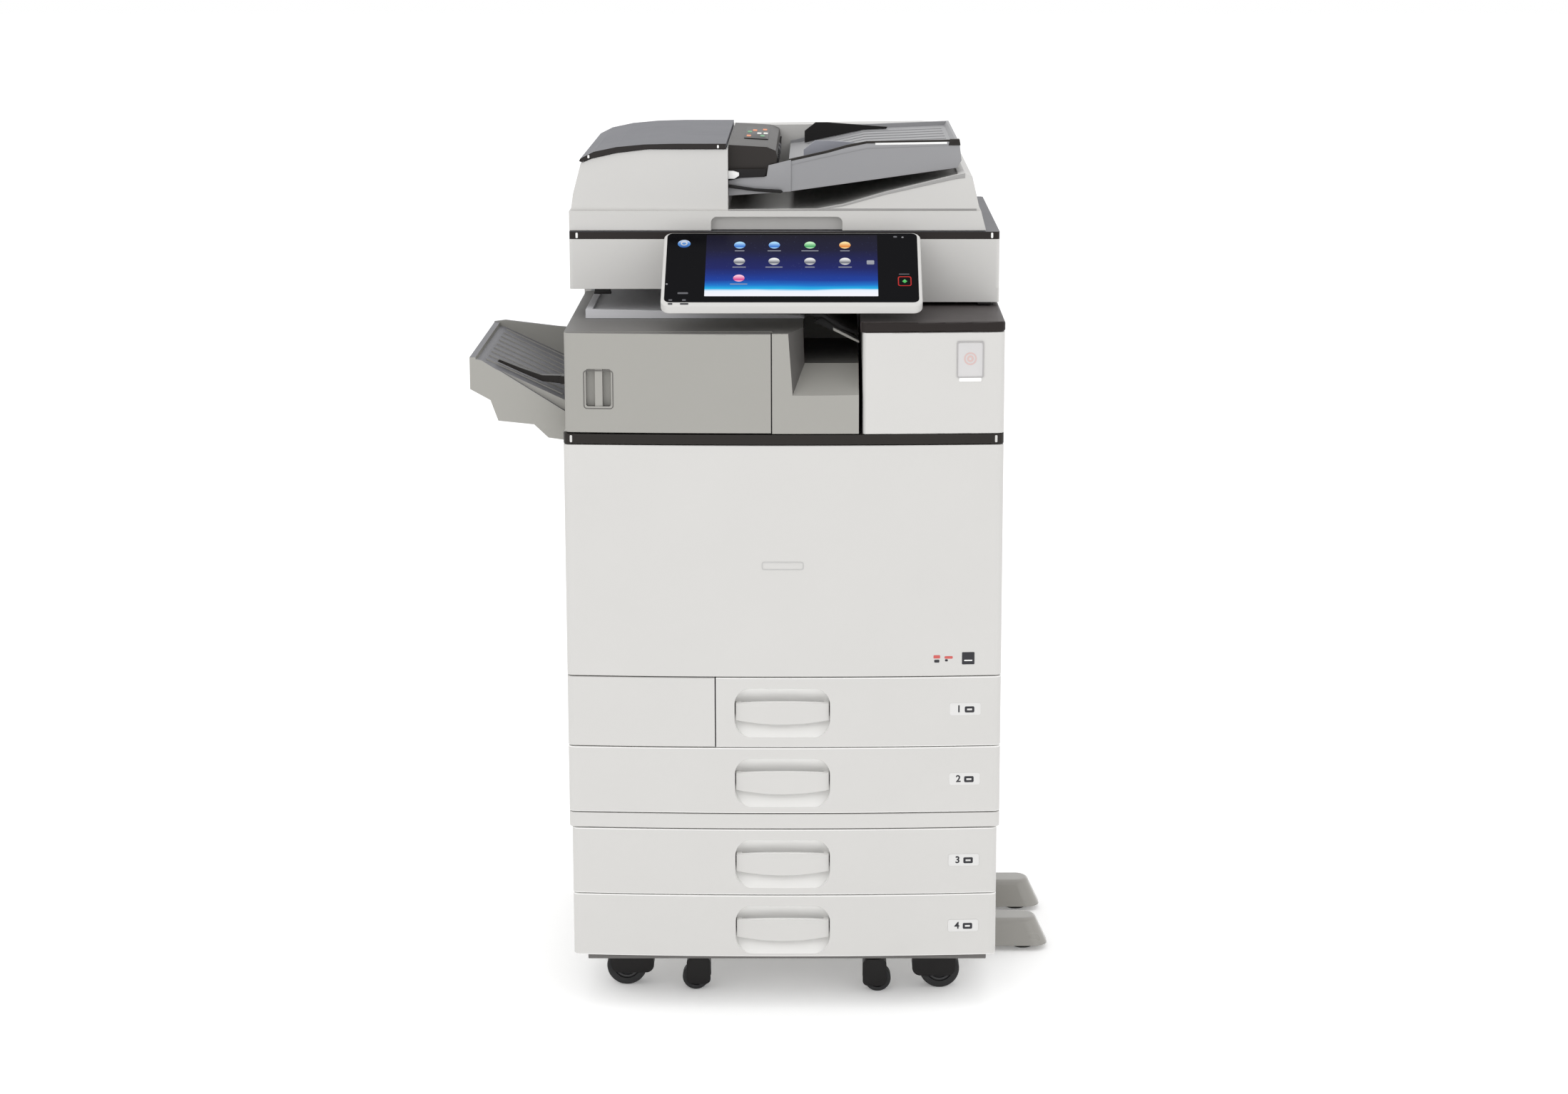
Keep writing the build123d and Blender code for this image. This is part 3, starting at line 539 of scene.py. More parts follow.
class CopierStage(bpy.types.PropertyGroup):
    """Camera, floor and lights."""

    lens: FloatProperty(name="Lens", description="Focal length on a 36 mm sensor", default=75.26, min=20, max=200)
    distance: length("Distance", "Camera to the machine's front", 4.291, 1, 12)
    height: length("Height", "Camera above the floor", 1.545, 0.2, 4)
    tilt: FloatProperty(name="Tilt", description="Camera's downward tilt in degrees", default=12.09, min=-30, max=60)
    key: FloatProperty(name="Key light", description="Power of the large front light", default=20.0,
                       subtype="POWER", unit="POWER", min=0, max=2000)
    sky: FloatProperty(name="Surround", description="Brightness of the white surround", default=1.0, min=0, max=4)


# Materials of the CAD nodes

def body_white():
    return plastic("Casing white", bpy.context.scene.copier_finish.body, rough=0.42, dust=0.03)


def finisher_grey():
    # Painted shade: faces turned up take a darker grey, as in the shade under the scanner, and faces turned right a
    # darker one still, as on the scoop's shaded left wall.
    return plastic("Finisher grey", bpy.context.scene.copier_finish.grey, rough=0.5, dust=0.02,
                   second=((0.150, 0.145, 0.140), (0, 0, 1), 0.97), third=((0.12, 0.115, 0.11), (1, 0, 0), 0.35))


def trim_dark():
    return plastic("Trim dark", bpy.context.scene.copier_finish.dark, rough=0.35, wear_and_highlight=0.15, shine=0.25)


def cap_dark():
    # Faces turned to the user take a near-black painted shade; the top keeps the lighter cap colour.
    return plastic("Cap dark", bpy.context.scene.copier_finish.cap, rough=0.42, wear_and_highlight=0.3, dust=0.04, shine=0.15,
                   second=(PAINTED_SHADE_FRONT, (0, -1, 0), 0.5))


def black_plastic():
    return plastic("Black plastic", (0.007, 0.006, 0.006), rough=0.4, wear_and_highlight=0.08, dust=0.04, shine=0.25)


def white_mark():
    return plastic("Mark white", (0.85, 0.85, 0.84), rough=0.4, wear_and_highlight=0.0, edge=0.1)


def dark_mark():
    return plastic("Mark dark", (0.035, 0.035, 0.04), rough=0.5, wear_and_highlight=0.0, edge=0.1, shine=0.2)


def input_tray_grey():
    return plastic("Input tray grey", (0.285, 0.285, 0.295), rough=0.45, dust=0.04)


WHITE_NODES = ("bank_cabinet", "bank_side_door", "base_pan", "left_cover", "right_cover", "rear_cover", "front_cover",
               "lower_left_panel", "exit_cover", "scanner_base", "feeder_base", "panel_housing", "side_door",
               "bypass_tray")
PAINTED_LIGHT_DISH = (0.86, 0.855, 0.84)      # painted light: paler colour on the faces of the drawer fronts that turn up or down, as in the handle dishes
PAINTED_SHADE_FRONT = (0.020, 0.016, 0.015)  # painted shade: near black on the faces of the dark caps that face the user, their tops keeping a lighter grey


def node_materials():
    """The material of every CAD node."""
    finish = bpy.context.scene.copier_finish
    white, grey, cap, trim = body_white(), finisher_grey(), cap_dark(), trim_dark()
    # Faces turned to the user take a near-black painted shade; the lid's top keeps its blue-grey.
    lid = plastic("Feeder lid", finish.lid, rough=0.42, mottle=0.06, dust=0.04, shine=0.2,
                  second=((0.022, 0.019, 0.018), (0, -1, 0), 0.7))
    tray = input_tray_grey()
    # Painted shade: faces turned up take a darker blue-grey.
    side_tray = plastic("Side tray grey", finish.grey, rough=0.5, dust=0.02,
                        second=((0.150, 0.150, 0.165), (0, 0, 1), 0.6))
    # Faces turned to the user take a near-black painted shade; the top keeps the lighter blue-grey.
    frame_top = plastic("Scanner top", (0.095, 0.095, 0.108), rough=0.42, dust=0.03, shine=0.2,
                        second=(PAINTED_SHADE_FRONT, (0, -1, 0), 0.5))
    made = dict.fromkeys(WHITE_NODES, white)
    made |= {
        "finisher_housing": grey, "finisher_door": grey, "output_tray": side_tray,
        "belt_trim": trim, "output_tray_lever": trim, "exit_cap": cap, "scanner_top_frame": frame_top,
        "feeder_front_fence": plastic("Fence grey", (0.27, 0.275, 0.31), rough=0.4),
        "feeder_rear_fence": black_plastic(), "feeder_cover": lid,
        "feeder_input_tray": tray,
        "feed_unit": plastic("Feed unit black", (0.020, 0.016, 0.014), rough=0.42, dust=0.05, shine=0.3),
        "one_bin_tray": plastic("Bin tray light", (0.60, 0.60, 0.62), rough=0.4, dust=0.04),
        "stabiliser_feet": plastic("Foot grey", (0.290, 0.280, 0.258), rough=0.28, coat=0.35, wear_and_highlight=0.35),
        "stabiliser_pads": plastic("Pad rubber", (0.02, 0.02, 0.02), rough=0.8, bump=0.4, wear_and_highlight=0.0),
        "power_inlet": black_plastic(), "main_frame": metal("Frame steel", (0.42, 0.43, 0.44)),
        "inner_front_cover": plastic("Inner grey", (0.10, 0.104, 0.112), rough=0.45),
        "fuser_roller": plastic("Roller sleeve", (0.30, 0.09, 0.06), rough=0.25, bump=0.05, wear_and_highlight=0.0),
        "scanner_glass": glass("Platen glass"),
        "scan_carriage": plastic("Carriage black", (0.03, 0.03, 0.033), rough=0.45),
        "panel_screen": gloss_black("Panel glass"),
    }
    # Faces that turn up or down, as in the handle dishes, take a paler painted light.
    front = plastic("Drawer front white", finish.body, rough=0.42, dust=0.03, second=(PAINTED_LIGHT_DISH, (0, 0, 1), 0.12),
                    third=(PAINTED_LIGHT_DISH, (0, 0, -1), 0.12))
    for number in range(1, 5):
        made[f"drawer_{number}_front"] = front
        made[f"drawer_{number}_tray"] = plastic("Drawer tray grey", (0.25, 0.25, 0.255), rough=0.45, dust=0.1)
    toner = ((0.02, 0.02, 0.02), (0.01, 0.22, 0.50), (0.50, 0.02, 0.18), (0.70, 0.48, 0.02))
    for number, colour in enumerate(toner, 1):
        made[f"toner_bottle_{number}"] = plastic(f"Toner {number}", colour, rough=0.35, bump=0.05)
    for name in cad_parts:
        if name.endswith("_fork"):
            made[name] = black_plastic()
        if name.endswith("_wheel"):
            made[name] = plastic("Caster tread", (0.016, 0.016, 0.017), rough=0.6, bump=0.3, wear_and_highlight=0.1)
    return made


class COPIER_OT_finishes(bpy.types.Operator):
    """Give every CAD node its material"""

    bl_idname = "copier.finishes"
    bl_label = "Casing finishes"

    def execute(self, context):
        materials = node_materials()
        for name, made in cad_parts.items():
            material = materials[name]
            mesh = made.data
            if not mesh.materials:
                mesh.materials.append(material)
            for index in range(len(mesh.materials)):
                mesh.materials[index] = material
        return {"FINISHED"}


# The operation panel

ICON_COLUMNS = (-70.5, -24.0, 24.0, 71.0)     # from the glass's middle, in millimetres
ICON_ROWS = (-27.0, -63.5, -101.0)            # up from the glass's top edge
ICON_R = 7.6
BLUES = ((0.02, 0.16, 0.62), (0.45, 0.75, 1.0))
ICON_COLOURS = [BLUES, BLUES, ((0.03, 0.35, 0.10), (0.6, 0.95, 0.6)), ((0.75, 0.22, 0.02), (1.0, 0.8, 0.4))]
GREYS = ((0.12, 0.13, 0.16), (0.9, 0.9, 0.9))
PINKS = ((0.65, 0.03, 0.25), (1.0, 0.6, 0.75))


SKY = [(0.0, (0.90, 0.90, 0.97)), (0.060, (0.82, 0.88, 0.97)), (0.088, (0.01, 0.45, 0.80)),
       (0.15, (0.002, 0.17, 0.60)), (0.23, (0.002, 0.040, 0.32)), (0.42, (0.004, 0.010, 0.12)),
       (0.72, (0.004, 0.004, 0.030)), (1.0, (0.004, 0.003, 0.010))]     # from the screen's bottom edge up


def on_panel(x, y, lift=0.0):
    """A frame on the panel's glass, x from its middle and y up from its top edge."""
    return panel_plane() @ Matrix.Translation((x * MM, y * MM, lift * MM))


class COPIER_OT_screen(bpy.types.Operator):
    """Add the lit screen with its round icons"""

    bl_idname = "copier.screen"
    bl_label = "Touch screen"

    def execute(self, context):
        sizes = context.scene.copier_panel
        sky = lit("Screen sky", SKY, sizes.glow, waver=-0.06, sparkle=0.05)
        middle = -4.0 - sizes.height / MM / 2
        screen = slab(sizes.width / MM, sizes.height / MM, 1.0, 0.0, 0.12)
        piece("panel_display", screen, "panel", sky, on_panel(-0.5, middle, 0.02))
        self.icons()
        return {"FINISHED"}

    def icons(self):
        """Nine round icons with a plain bar under each, and a small square one at the edge."""
        bars = lit("Caption light", [(0.0, (0.5, 0.52, 0.6)), (1.0, (0.6, 0.62, 0.7))], 0.6)
        for row, y in enumerate(ICON_ROWS):
            for column, x in enumerate(ICON_COLUMNS):
                if row == 2 and column:
                    continue
                deep, pale = ICON_COLOURS[column] if row == 0 else GREYS if row == 1 else PINKS
                tone = f"Icon {row}{column if row == 0 else 0}"
                glow = lit(tone, [(0.0, pale), (0.25, deep), (0.55, [d * 0.6 + p * 0.4 for d, p in zip(deep, pale)]),
                                  (0.85, pale), (1.0, pale)], 1.0)
                name = f"panel_icon_{row + 1}_{column + 1}"
                piece(name, plate(outline_round(ICON_R, 36), 0, 0.25, 0.1), "panel", glow,
                      on_panel(x, y, 0.12))
                bar = slab(13 + 5 * ((row + column) % 3), 1.6, 0.7, 0, 0.1)
                piece(name + "_bar", bar, "panel", bars, on_panel(x, y - 13.0, 0.13))
        side = slab(10, 9, 1.5, 0, 0.2, 0.1)
        piece("panel_icon_side", side, "panel", bars, on_panel(105, -66, 0.13))


class COPIER_OT_keys(bpy.types.Operator):
    """Add the home key, the stop key and the small lamps"""

    bl_idname = "copier.keys"
    bl_label = "Touch keys"

    def execute(self, context):
        blues = [(0.0, (0.03, 0.12, 0.42)), (0.5, (0.10, 0.30, 0.72)), (1.0, (0.75, 0.85, 1.0))]
        home_blue = lit("Home blue", blues, 0.9)
        pale = lit("Key white", [(0.0, (0.6, 0.64, 0.7)), (1.0, (0.9, 0.92, 0.95))], 0.8)
        red = lit("Stop red", [(0.0, (0.55, 0.02, 0.02)), (1.0, (0.65, 0.04, 0.03))], 0.9)
        green = lit("Start green", [(0.0, (0.05, 0.4, 0.08)), (1.0, (0.15, 0.7, 0.2))], 1.0)
        home = on_panel(-145.5, -23.7, 0.02)
        piece("home_key", dome(8.6, 0.5), "panel", home_blue, home)
        lens = ring(outline_round(4.6, 36), outline_round(2.9, 36), 0.4, 0.75)
        piece("home_key_mark", lens, "panel", pale, home)
        stop = on_panel(150, -107.7, 0.02)
        border = ring(outline_rounded(18, 21, 3.5), outline_rounded(15.4, 18.4, 2.4), 0.0, 0.25)
        piece("stop_key", border, "panel", red, stop)
        diamond = plate([Vector((0, 4.2)), Vector((-3.4, 0)), Vector((0, -4.2)), Vector((3.4, 0))], 0, 0.2, 0.08)
        piece("stop_key_mark", diamond, "panel", green, stop)
        grey = lit("Legend grey", [(0.0, (0.18, 0.18, 0.2)), (1.0, (0.24, 0.24, 0.26))], 0.7)
        for number, (x, y, width, tall) in enumerate(((149.5, -92, 14, 1.6), (-144, -134, 14, 3.5), (-142, -149, 5, 3),
                                                     (-160, -149, 5, 3), (139, -8, 5, 3.5))):
            mark = slab(width, tall, min(width, tall) * 0.4, 0, 0.12)
            piece(f"panel_legend_{number + 1}", mark, "panel", grey, on_panel(x, y, 0.02))
        for number, x in enumerate((-160, -144, -139)):
            port = slab(6, 3.2, 1, 0, 0.3, 0.1)
            piece(f"panel_port_{number + 1}", port, "panel", dark_mark(), on_panel(x, -157, -0.1))
        for number, (x, y) in enumerate(((-166, -114), (149, -9))):
            lamp = lit(f"Lamp {number}", [(0.0, (0.3, 0.3, 0.32)), (1.0, (0.5, 0.5, 0.52))], 0.8)
            piece(f"panel_lamp_{number + 1}", dome(1.5, 0.6, steps=20), "panel", lamp, on_panel(x, y, 0.0))
        return {"FINISHED"}


# Labels

class COPIER_OT_drawer_labels(bpy.types.Operator):
    """Add a clear label with a number and a sheet mark to each drawer"""

    bl_idname = "copier.drawer_labels"
    bl_label = "Drawer labels"

    def execute(self, context):
        sizes = context.scene.copier_labels
        film = plastic("Label film", (0.66, 0.655, 0.645), rough=0.3, wear_and_highlight=0.0, edge=0.1, bump=0.02)
        for number in range(1, 5):
            front = f"drawer_{number}_front"
            z = (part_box(front)[1].z - sizes.drop) / MM
            body = f"drawer_{number}"
            backing = slab(42, 17, 3, 0, 0.25, 0.12)
            piece(f"{body}_label", backing, body, film, on_front(245, z))
            digit(f"{body}_number", str(number), sizes.digit / MM, body, "trim_dark", dark_mark(),
                  on_front(236.5, z, 0.3))
            sheet = ring(outline_rounded(13, 8.5, 1.8), outline_rounded(7, 2.6, 0.5), 0.25, 0.45)
            piece(f"{body}_sheet_mark", sheet, body, dark_mark(), on_front(251, z - 0.5))
        return {"FINISHED"}


class COPIER_OT_cover_labels(bpy.types.Operator):
    """Add the blank badge, the small marks and the card label"""

    bl_idname = "copier.cover_labels"
    bl_label = "Cover labels"

    def execute(self, context):
        badge = plastic("Badge silver", (0.50, 0.50, 0.49), rough=0.25, wear_and_highlight=0.4, edge=0.3)
        rim = ring(outline_rounded(56, 11, 3), outline_rounded(54, 9, 2.2), 0, 0.5)
        piece("front_badge_rim", rim, "front_cover", badge, on_front(*BADGE))
        face = slab(54, 9, 2.2, 0, 0.3, 0.1)
        piece("front_badge", face, "front_cover", body_white(), on_front(*BADGE))
        rose = plastic("Mark rose", (0.55, 0.10, 0.09), rough=0.45, wear_and_highlight=0.0, edge=0.1)
        marks = ((206, 498.5, 9, 4.5, rose), (206, 492.5, 7, 4, dark_mark()), (222, 497.5, 11, 3.5, rose),
                 (219, 493.5, 4, 3, dark_mark()), (248.5, 496, 17, 17, dark_mark()))
        for number, (x, z, width, tall, paint) in enumerate(marks):
            block = slab(width, tall, 1.2, 0, 0.25, 0.1)
            piece(f"front_mark_{number + 1}", block, "front_cover", paint, on_front(x, z))
        bar = slab(11, 1.6, 0.6, 0.25, 0.4)
        piece("front_mark_bar", bar, "front_cover", white_mark(), on_front(248.5, 493))
        self.card_label()
        return {"FINISHED"}

    def card_label(self):
        """The raised card-touch label on the exit cover, with a plain pale disc."""
        # The grey rim round the raised label is a painted shadow.
        shadow = plastic("Card rim", (0.40, 0.39, 0.39), rough=0.4, wear_and_highlight=0.0, edge=0.2)
        rim = ring(outline_rounded(36, 49, 2.5), outline_rounded(33, 46, 2), 0, 0.9)
        piece("card_label_rim", rim, "machine", shadow, on_front(CARD_X, 903))
        lip = slab(30, 5, 1.5, 0, 1.2, 0.4)
        piece("card_label_lip", lip, "machine", white_mark(), on_front(CARD_X, 876))
        face = slab(33, 46, 2, 0, 0.5, 0.2)
        pale = plastic("Card grey", (0.58, 0.57, 0.57), rough=0.35, wear_and_highlight=0.0, edge=0.2)
        piece("card_label", face, "machine", pale, on_front(CARD_X, 902))
        pink = plastic("Card rose", (0.60, 0.44, 0.42), rough=0.4, wear_and_highlight=0.0, edge=0.1)
        for number, (outer, inner) in enumerate(((8.5, 6.5), (4.5, 2.0))):
            circle = ring(outline_round(outer), outline_round(inner), 0.5, 0.7)
            piece(f"card_label_ring_{number + 1}", circle, "machine", pink, on_front(CARD_X, 904))


class COPIER_OT_trim_grips(bpy.types.Operator):
    """Add small light pieces at the ends of the dark strips as painted highlights"""

    bl_idname = "copier.trim_grips"
    bl_label = "Strip end highlights"

    def execute(self, context):
        # Each light piece is a painted highlight where a dark strip turns round its end.
        for side, name in ((-1, "left"), (1, "right")):
            low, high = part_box("belt_trim")
            z = (low.z + high.z) / 2 / MM
            highlight_piece = slab(3.2, 9.5, 1.2, 0, 0.8, 0.3)
            piece(f"belt_end_highlight_{name}", highlight_piece, "machine", body_white(), on_front(side * HIGHLIGHT_X, z))
            low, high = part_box("scanner_top_frame")
            z = (low.z + high.z) / 2 / MM
            highlight_piece = slab(3.0, 7.5, 1.2, 0, 0.8, 0.3)
            edge_y = (low.y - FRONT_Y) / MM
            piece(f"scanner_end_highlight_{name}", highlight_piece, "machine", white_mark(), facing(side * HIGHLIGHT_X, edge_y, z))
        for name, x, z in (("left", -266, 1155.5), ("right", -90, 1169)):
            highlight_piece = slab(2.6, 4.2, 0.9, 0, 0.8, 0.3)
            edge_y = (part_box("feeder_cover")[0].y - FRONT_Y) / MM
            piece(f"lid_end_highlight_{name}", highlight_piece, "feeder_cover", white_mark(), facing(x, edge_y, z))
        return {"FINISHED"}


# The feeder

class COPIER_OT_feed_unit(bpy.types.Operator):
    """Add the black feed unit with its rollers, the feeler and the label"""

    bl_idname = "copier.feed_unit"
    bl_label = "Feed unit"

    def execute(self, context):
        black = black_plastic()
        slot = "trim_dark"
        for rib in range(13):
            y = 226 + rib * 30
            flank = [(-30, 1113), (-16, 1121), (-9.5, 1132), (-8, 1150), (-20, 1150)]
            beam(f"feed_rib_{rib + 1}", flank, y, y + 2.5, 0.4, "feeder", slot, black)
        rubber = plastic("Feed rubber", (0.05, 0.05, 0.055), rough=0.7, bump=0.5, wear_and_highlight=0.0)
        for number, y in enumerate((350, 410)):
            piece(f"feed_roller_{number + 1}", roller(-15, 1147, 8, y, y + 34), "feeder", rubber)
        cheek = [(WELL_LEFT, 1100), (9, 1105.8), (9, 1149), (-22, 1141.5), (-24.5, 1126.5), (-60, 1124.5),
                 (WELL_LEFT, 1121)]
        beam("feed_cheek", cheek, 202.8, 204.6, 0.5, "feeder", "tray_grey", input_tray_grey())
        # Painted shade: a black plate stands in for the shade inside the slot above the cheek.
        dark = [(WELL_LEFT, 1136), (-24.5, 1137), (-27, 1126), (-60, 1124.5), (WELL_LEFT, 1120.7)]
        beam("feed_cheek_slot_shade", dark, 201.2, 202.6, 0.3, "feeder", slot, black)
        feeler = [(WELL_LEFT, 1116), (-40, 1110.5), (-5, 1108.5), (-2, 1106), (-5, 1104), (-40, 1106.5),
                  (WELL_LEFT, 1111.5)]
        beam("exit_feeler", feeler, 196, 201.2, 0.6, "feeder", slot, black)
        claw = [(-77, 1124), (-68, 1124), (-62, 1128), (-62, 1132), (-70, 1134.5), (-77, 1134.5)]
        beam("lid_catch", claw, 194, 201, 0.8, "feeder", "body_white", white_mark())
        self.label()
        return {"FINISHED"}

    def label(self):
        """A dark plate on the hood with plain coloured marks."""
        base = slab(34, 200, 4, 0, 0.8, 0.3)
        place = framed(at(-41, 425, 1167.4), Vector((1, 0, -0.057)).normalized(), Vector((0, 1, 0)))
        piece("feed_label", base, "feeder", black_plastic(), place)
        tones = {"orange": (0.80, 0.20, 0.03), "pale": (0.75, 0.74, 0.70), "green": (0.04, 0.30, 0.10)}
        marks = ((-11, -60, "orange"), (-4, 40, "orange"), (3, -10, "pale"), (10, 60, "orange"), (8, -50, "green"),
                 (12, -5, "pale"), (-11, 10, "green"))
        for number, (x, y, tone) in enumerate(marks):
            colour = plastic(f"Label {tone}", tones[tone], rough=0.4, wear_and_highlight=0.0, edge=0.1)
            spot = place @ Matrix.Translation((x * MM, y * MM, 0.8 * MM))
            dot = slab(6, 26, 2.5, 0, 0.25)
            piece(f"feed_label_mark_{number + 1}", dot, "feeder", colour, spot)


class COPIER_OT_feeder_trays(bpy.types.Operator):
    """Add the input tray's edge strips and ribs, and painted shade bands along the exit ramp and the feeder's step"""

    bl_idname = "copier.feeder_trays"
    bl_label = "Feeder trays"

    def execute(self, context):
        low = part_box("feeder_input_tray")[0]
        near = (low.y - FRONT_Y) / MM
        side = [(6, 1141), (50, 1151), (112, 1164), (239, 1169), (239, 1174.5), (150, 1173), (112, 1171.5),
                (85, 1166.5), (58, 1159), (6, 1147.5)]
        beam("tray_side_rim", side, near - 0.6, near + 3, 0.4, "feeder_input_tray", "tray_grey",
              input_tray_grey())
        strip = [(6, 1146.5), (58, 1158), (85, 1165.5), (112, 1171), (239, 1174), (239, 1176.5), (112, 1174.2)]
        strip += [(85, 1169.3), (58, 1161.5), (6, 1150)]
        beam("tray_edge_strip", strip, near - 0.9, near + 4, 0.3, "feeder_input_tray", "trim_dark", trim_dark())
        light = [(124, 1169), (222, 1170.5), (222, 1173.4), (124, 1171.9)]
        beam("tray_edge_light", light, near - 1.2, near + 2, 0.2, "feeder_input_tray", "body_white", white_mark())
        cap = [(224, 1168.5), (240.5, 1168.5), (239, 1177), (226, 1177)]
        beam("tray_end_cap", cap, near - 1.3, near + 12, 0.6, "feeder_input_tray", "trim_dark", trim_dark())
        tray = input_tray_grey()
        for rib in range(7):
            y = 262 + rib * 44
            line = [(30, 1142.8), (50, 1147.6), (112, 1160.8), (226, 1165.2), (226, 1166.6), (112, 1162.2),
                    (30, 1144.4)]
            beam(f"tray_bed_rib_{rib + 1}", line, y, y + 4, 0.4, "feeder_input_tray", "tray_grey", tray)
        # Painted shade: grey bands along the exit ramp's diagonal edge and along the feeder's step.
        shade = plastic("Ramp shade", (0.33, 0.325, 0.32), rough=0.5, wear_and_highlight=0.0)
        line = [(46, 1084), (80, 1090.2), (137, 1106.7), (232, 1129.7), (246, 1132.7), (246, 1126.5), (232, 1124.5)]
        line += [(137, 1103.4), (80, 1087.8), (46, 1083.2)]
        beam("exit_ramp_painted_shade", line, *RAMP_Y, 0.2, "feeder", "body_white", shade)
        step = [(WELL_LEFT, 1082.2), (262, 1082.2), (262, 1084.6), (60, 1085), (45, 1084), (WELL_LEFT, 1083)]
        beam("feeder_step_painted_shade", step, 180.4, RAMP_Y[1], 0.2, "feeder", "body_white", shade)
        return {"FINISHED"}


# The output area

class COPIER_OT_underside(bpy.types.Operator):
    """Add the edge under the bank, coloured dark grey as painted shade, and the caps on the caster wheels"""

    bl_idname = "copier.underside"
    bl_label = "Underside"

    def execute(self, context):
        # The edge under the bank is coloured dark grey as painted shade.
        edge = plastic("Base grey", (0.13, 0.125, 0.12), rough=0.5)
        for name, near, far in (("front", 31, 43), ("back", 596, 608)):
            bar = [(-272, 62.5), (278, 62.5), (278, 75.6), (-272, 75.6)]
            beam(f"bank_edge_{name}", bar, near, far, 1.0, "machine", "frame_steel", edge)
        hub = plastic("Hub grey", (0.035, 0.035, 0.037), rough=0.35, wear_and_highlight=0.4, shine=0.4)
        for wheel in sorted(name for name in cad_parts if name.endswith("_wheel")):
            low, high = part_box(wheel)
            middle = (low + high) / 2
            radius = (high.z - low.z) / 2 / MM
            place = framed(Vector((middle.x, low.y, middle.z)), Vector((1, 0, 0)), Vector((0, 0, 1)))
            rim = ring(outline_round(radius * 0.60), outline_round(radius * 0.50), -2.5, -0.6)
            piece(f"{wheel}_rim", rim, wheel, hub, place)
        return {"FINISHED"}


class COPIER_OT_inside_marks(bpy.types.Operator):
    """Add a coloured dot under each toner bottle and a ring round its cap"""

    bl_idname = "copier.inside_marks"
    bl_label = "Toner marks"

    def execute(self, context):
        for number in range(1, 5):
            low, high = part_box(f"toner_bottle_{number}")
            x = ((low.x + high.x) / 2 - CENTRE_X) / MM
            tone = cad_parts[f"toner_bottle_{number}"].data.materials[0]
            dot = slab(26, 8, 4, 0, 0.8, 0.3)
            piece(f"toner_mark_{number}", dot, "machine", tone, facing(x, 34, 664))
            collar = ring(outline_round(42), outline_round(37.5), 0, 1.2)
            piece(f"toner_collar_{number}", collar, "machine", black_plastic(), facing(x, 34, 716))
        return {"FINISHED"}


class COPIER_OT_output_guides(bpy.types.Operator):
    """Add the dark guides in the paper exit and the lock under the scanner"""

    bl_idname = "copier.output_guides"
    bl_label = "Output guides"

    def execute(self, context):
        black = black_plastic()
        slope = [(30, 946), (52, 945), (74, 930), (100, 921), (100.5, 925), (78, 935), (54, 951), (30, 951)]
        beam("exit_guide", slope, 110, 300, 0.8, "machine", "trim_dark", black)
        for rib in range(6):
            y = 116 + rib * 34
            fin = [(40, 938), (60, 928), (92, 914), (99, 918), (74, 930), (52, 945)]
            beam(f"exit_guide_fin_{rib + 1}", fin, y, y + 3, 0.4, "machine", "trim_dark", black)
        arm = [(66, 934), (86, 924), (101, 917), (101, 920), (86, 928), (66, 938)]
        beam("exit_arm", arm, 62, 68, 0.6, "machine", "finisher_grey", finisher_grey())
        stop = [(264, 954), (283, 954), (283, 958.5), (264, 958.5)]
        beam("scanner_stop", stop, 170.5, 186, 0.6, "machine", "trim_dark", black)
        line = ring(outline_rounded(40, 52, 4.5), outline_rounded(37.5, 49.5, 3.5), -0.2, 0.15)
        dark_line = plastic("Latch line", (0.11, 0.105, 0.10), rough=0.5, wear_and_highlight=0.0, edge=0.1)
        piece("finisher_latch_line", line, "finisher_door", dark_line, on_front(-245.5, 862.5))
        lock = [(-262, 967), (-238, 967), (-240, 975.5), (-260, 975.5)]
        beam("scanner_lock", lock, 186, 200, 0.8, "machine", "trim_dark", black)
        return {"FINISHED"}


# The back and the sides

def screw(name, place):
    """A pan-head screw with a cross slot."""
    head = dome(3.6, 1.8, steps=24)
    piece(name, head, "machine", metal("Screw zinc", (0.55, 0.55, 0.56)), place)
    for number, (width, tall) in enumerate(((4.4, 0.9), (0.9, 4.4))):
        slot = slab(width, tall, 0.3, 1.2, 1.85)
        piece(f"{name}_slot_{number + 1}", slot, "machine", dark_mark(), place)


class COPIER_OT_back(bpy.types.Operator):
    """Add the screws, the port plate and the port frames on the back"""

    bl_idname = "copier.back"
    bl_label = "Back details"

    def execute(self, context):
        low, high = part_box("rear_cover")
        back = (high.y - FRONT_Y) / MM
        left = (low.x - CENTRE_X) / MM
        right = (high.x - CENTRE_X) / MM
        number = 0
        for x in (left + 14, (left + right) / 2, right - 14):
            for z in (low.z / MM + 14, 620, high.z / MM - 14):
                number += 1
                screw(f"rear_screw_{number}", facing_back(x, back, z))
        ports = slab(96, 150, 4, 0, 1.2, 0.4)
        piece("port_plate", ports, "machine", plastic("Inner grey", (0.10, 0.104, 0.112)),
              facing_back(190, back, 480))
        steel = metal("Port steel", (0.6, 0.6, 0.6), 0.3)
        for row, (width, tall) in enumerate(((16, 14), (14, 7), (14, 7), (22, 12))):
            place = facing_back(190, back + 1.2, 530 - row * 32)
            frame_ring = ring(outline_rounded(width + 3, tall + 3, 1), outline_rounded(width, tall, 0.6), 0, 1.0)
            piece(f"port_{row + 1}", frame_ring, "machine", steel, place)
            hole = slab(width, tall, 0.6, 0, 0.2)
            piece(f"port_{row + 1}_inside", hole, "machine", dark_mark(), place)
        return {"FINISHED"}


# The stage

def light(name, energy, size, place, aim):
    """An area light that points at a place."""
    data = bpy.data.lights.new(name, "AREA")
    data.energy = energy
    data.shape = "RECTANGLE"
    data.size, data.size_y = size
    made = added(name, data)
    made.location = place
    made.rotation_euler = (Vector(aim) - Vector(place)).to_track_quat("-Z", "Y").to_euler()


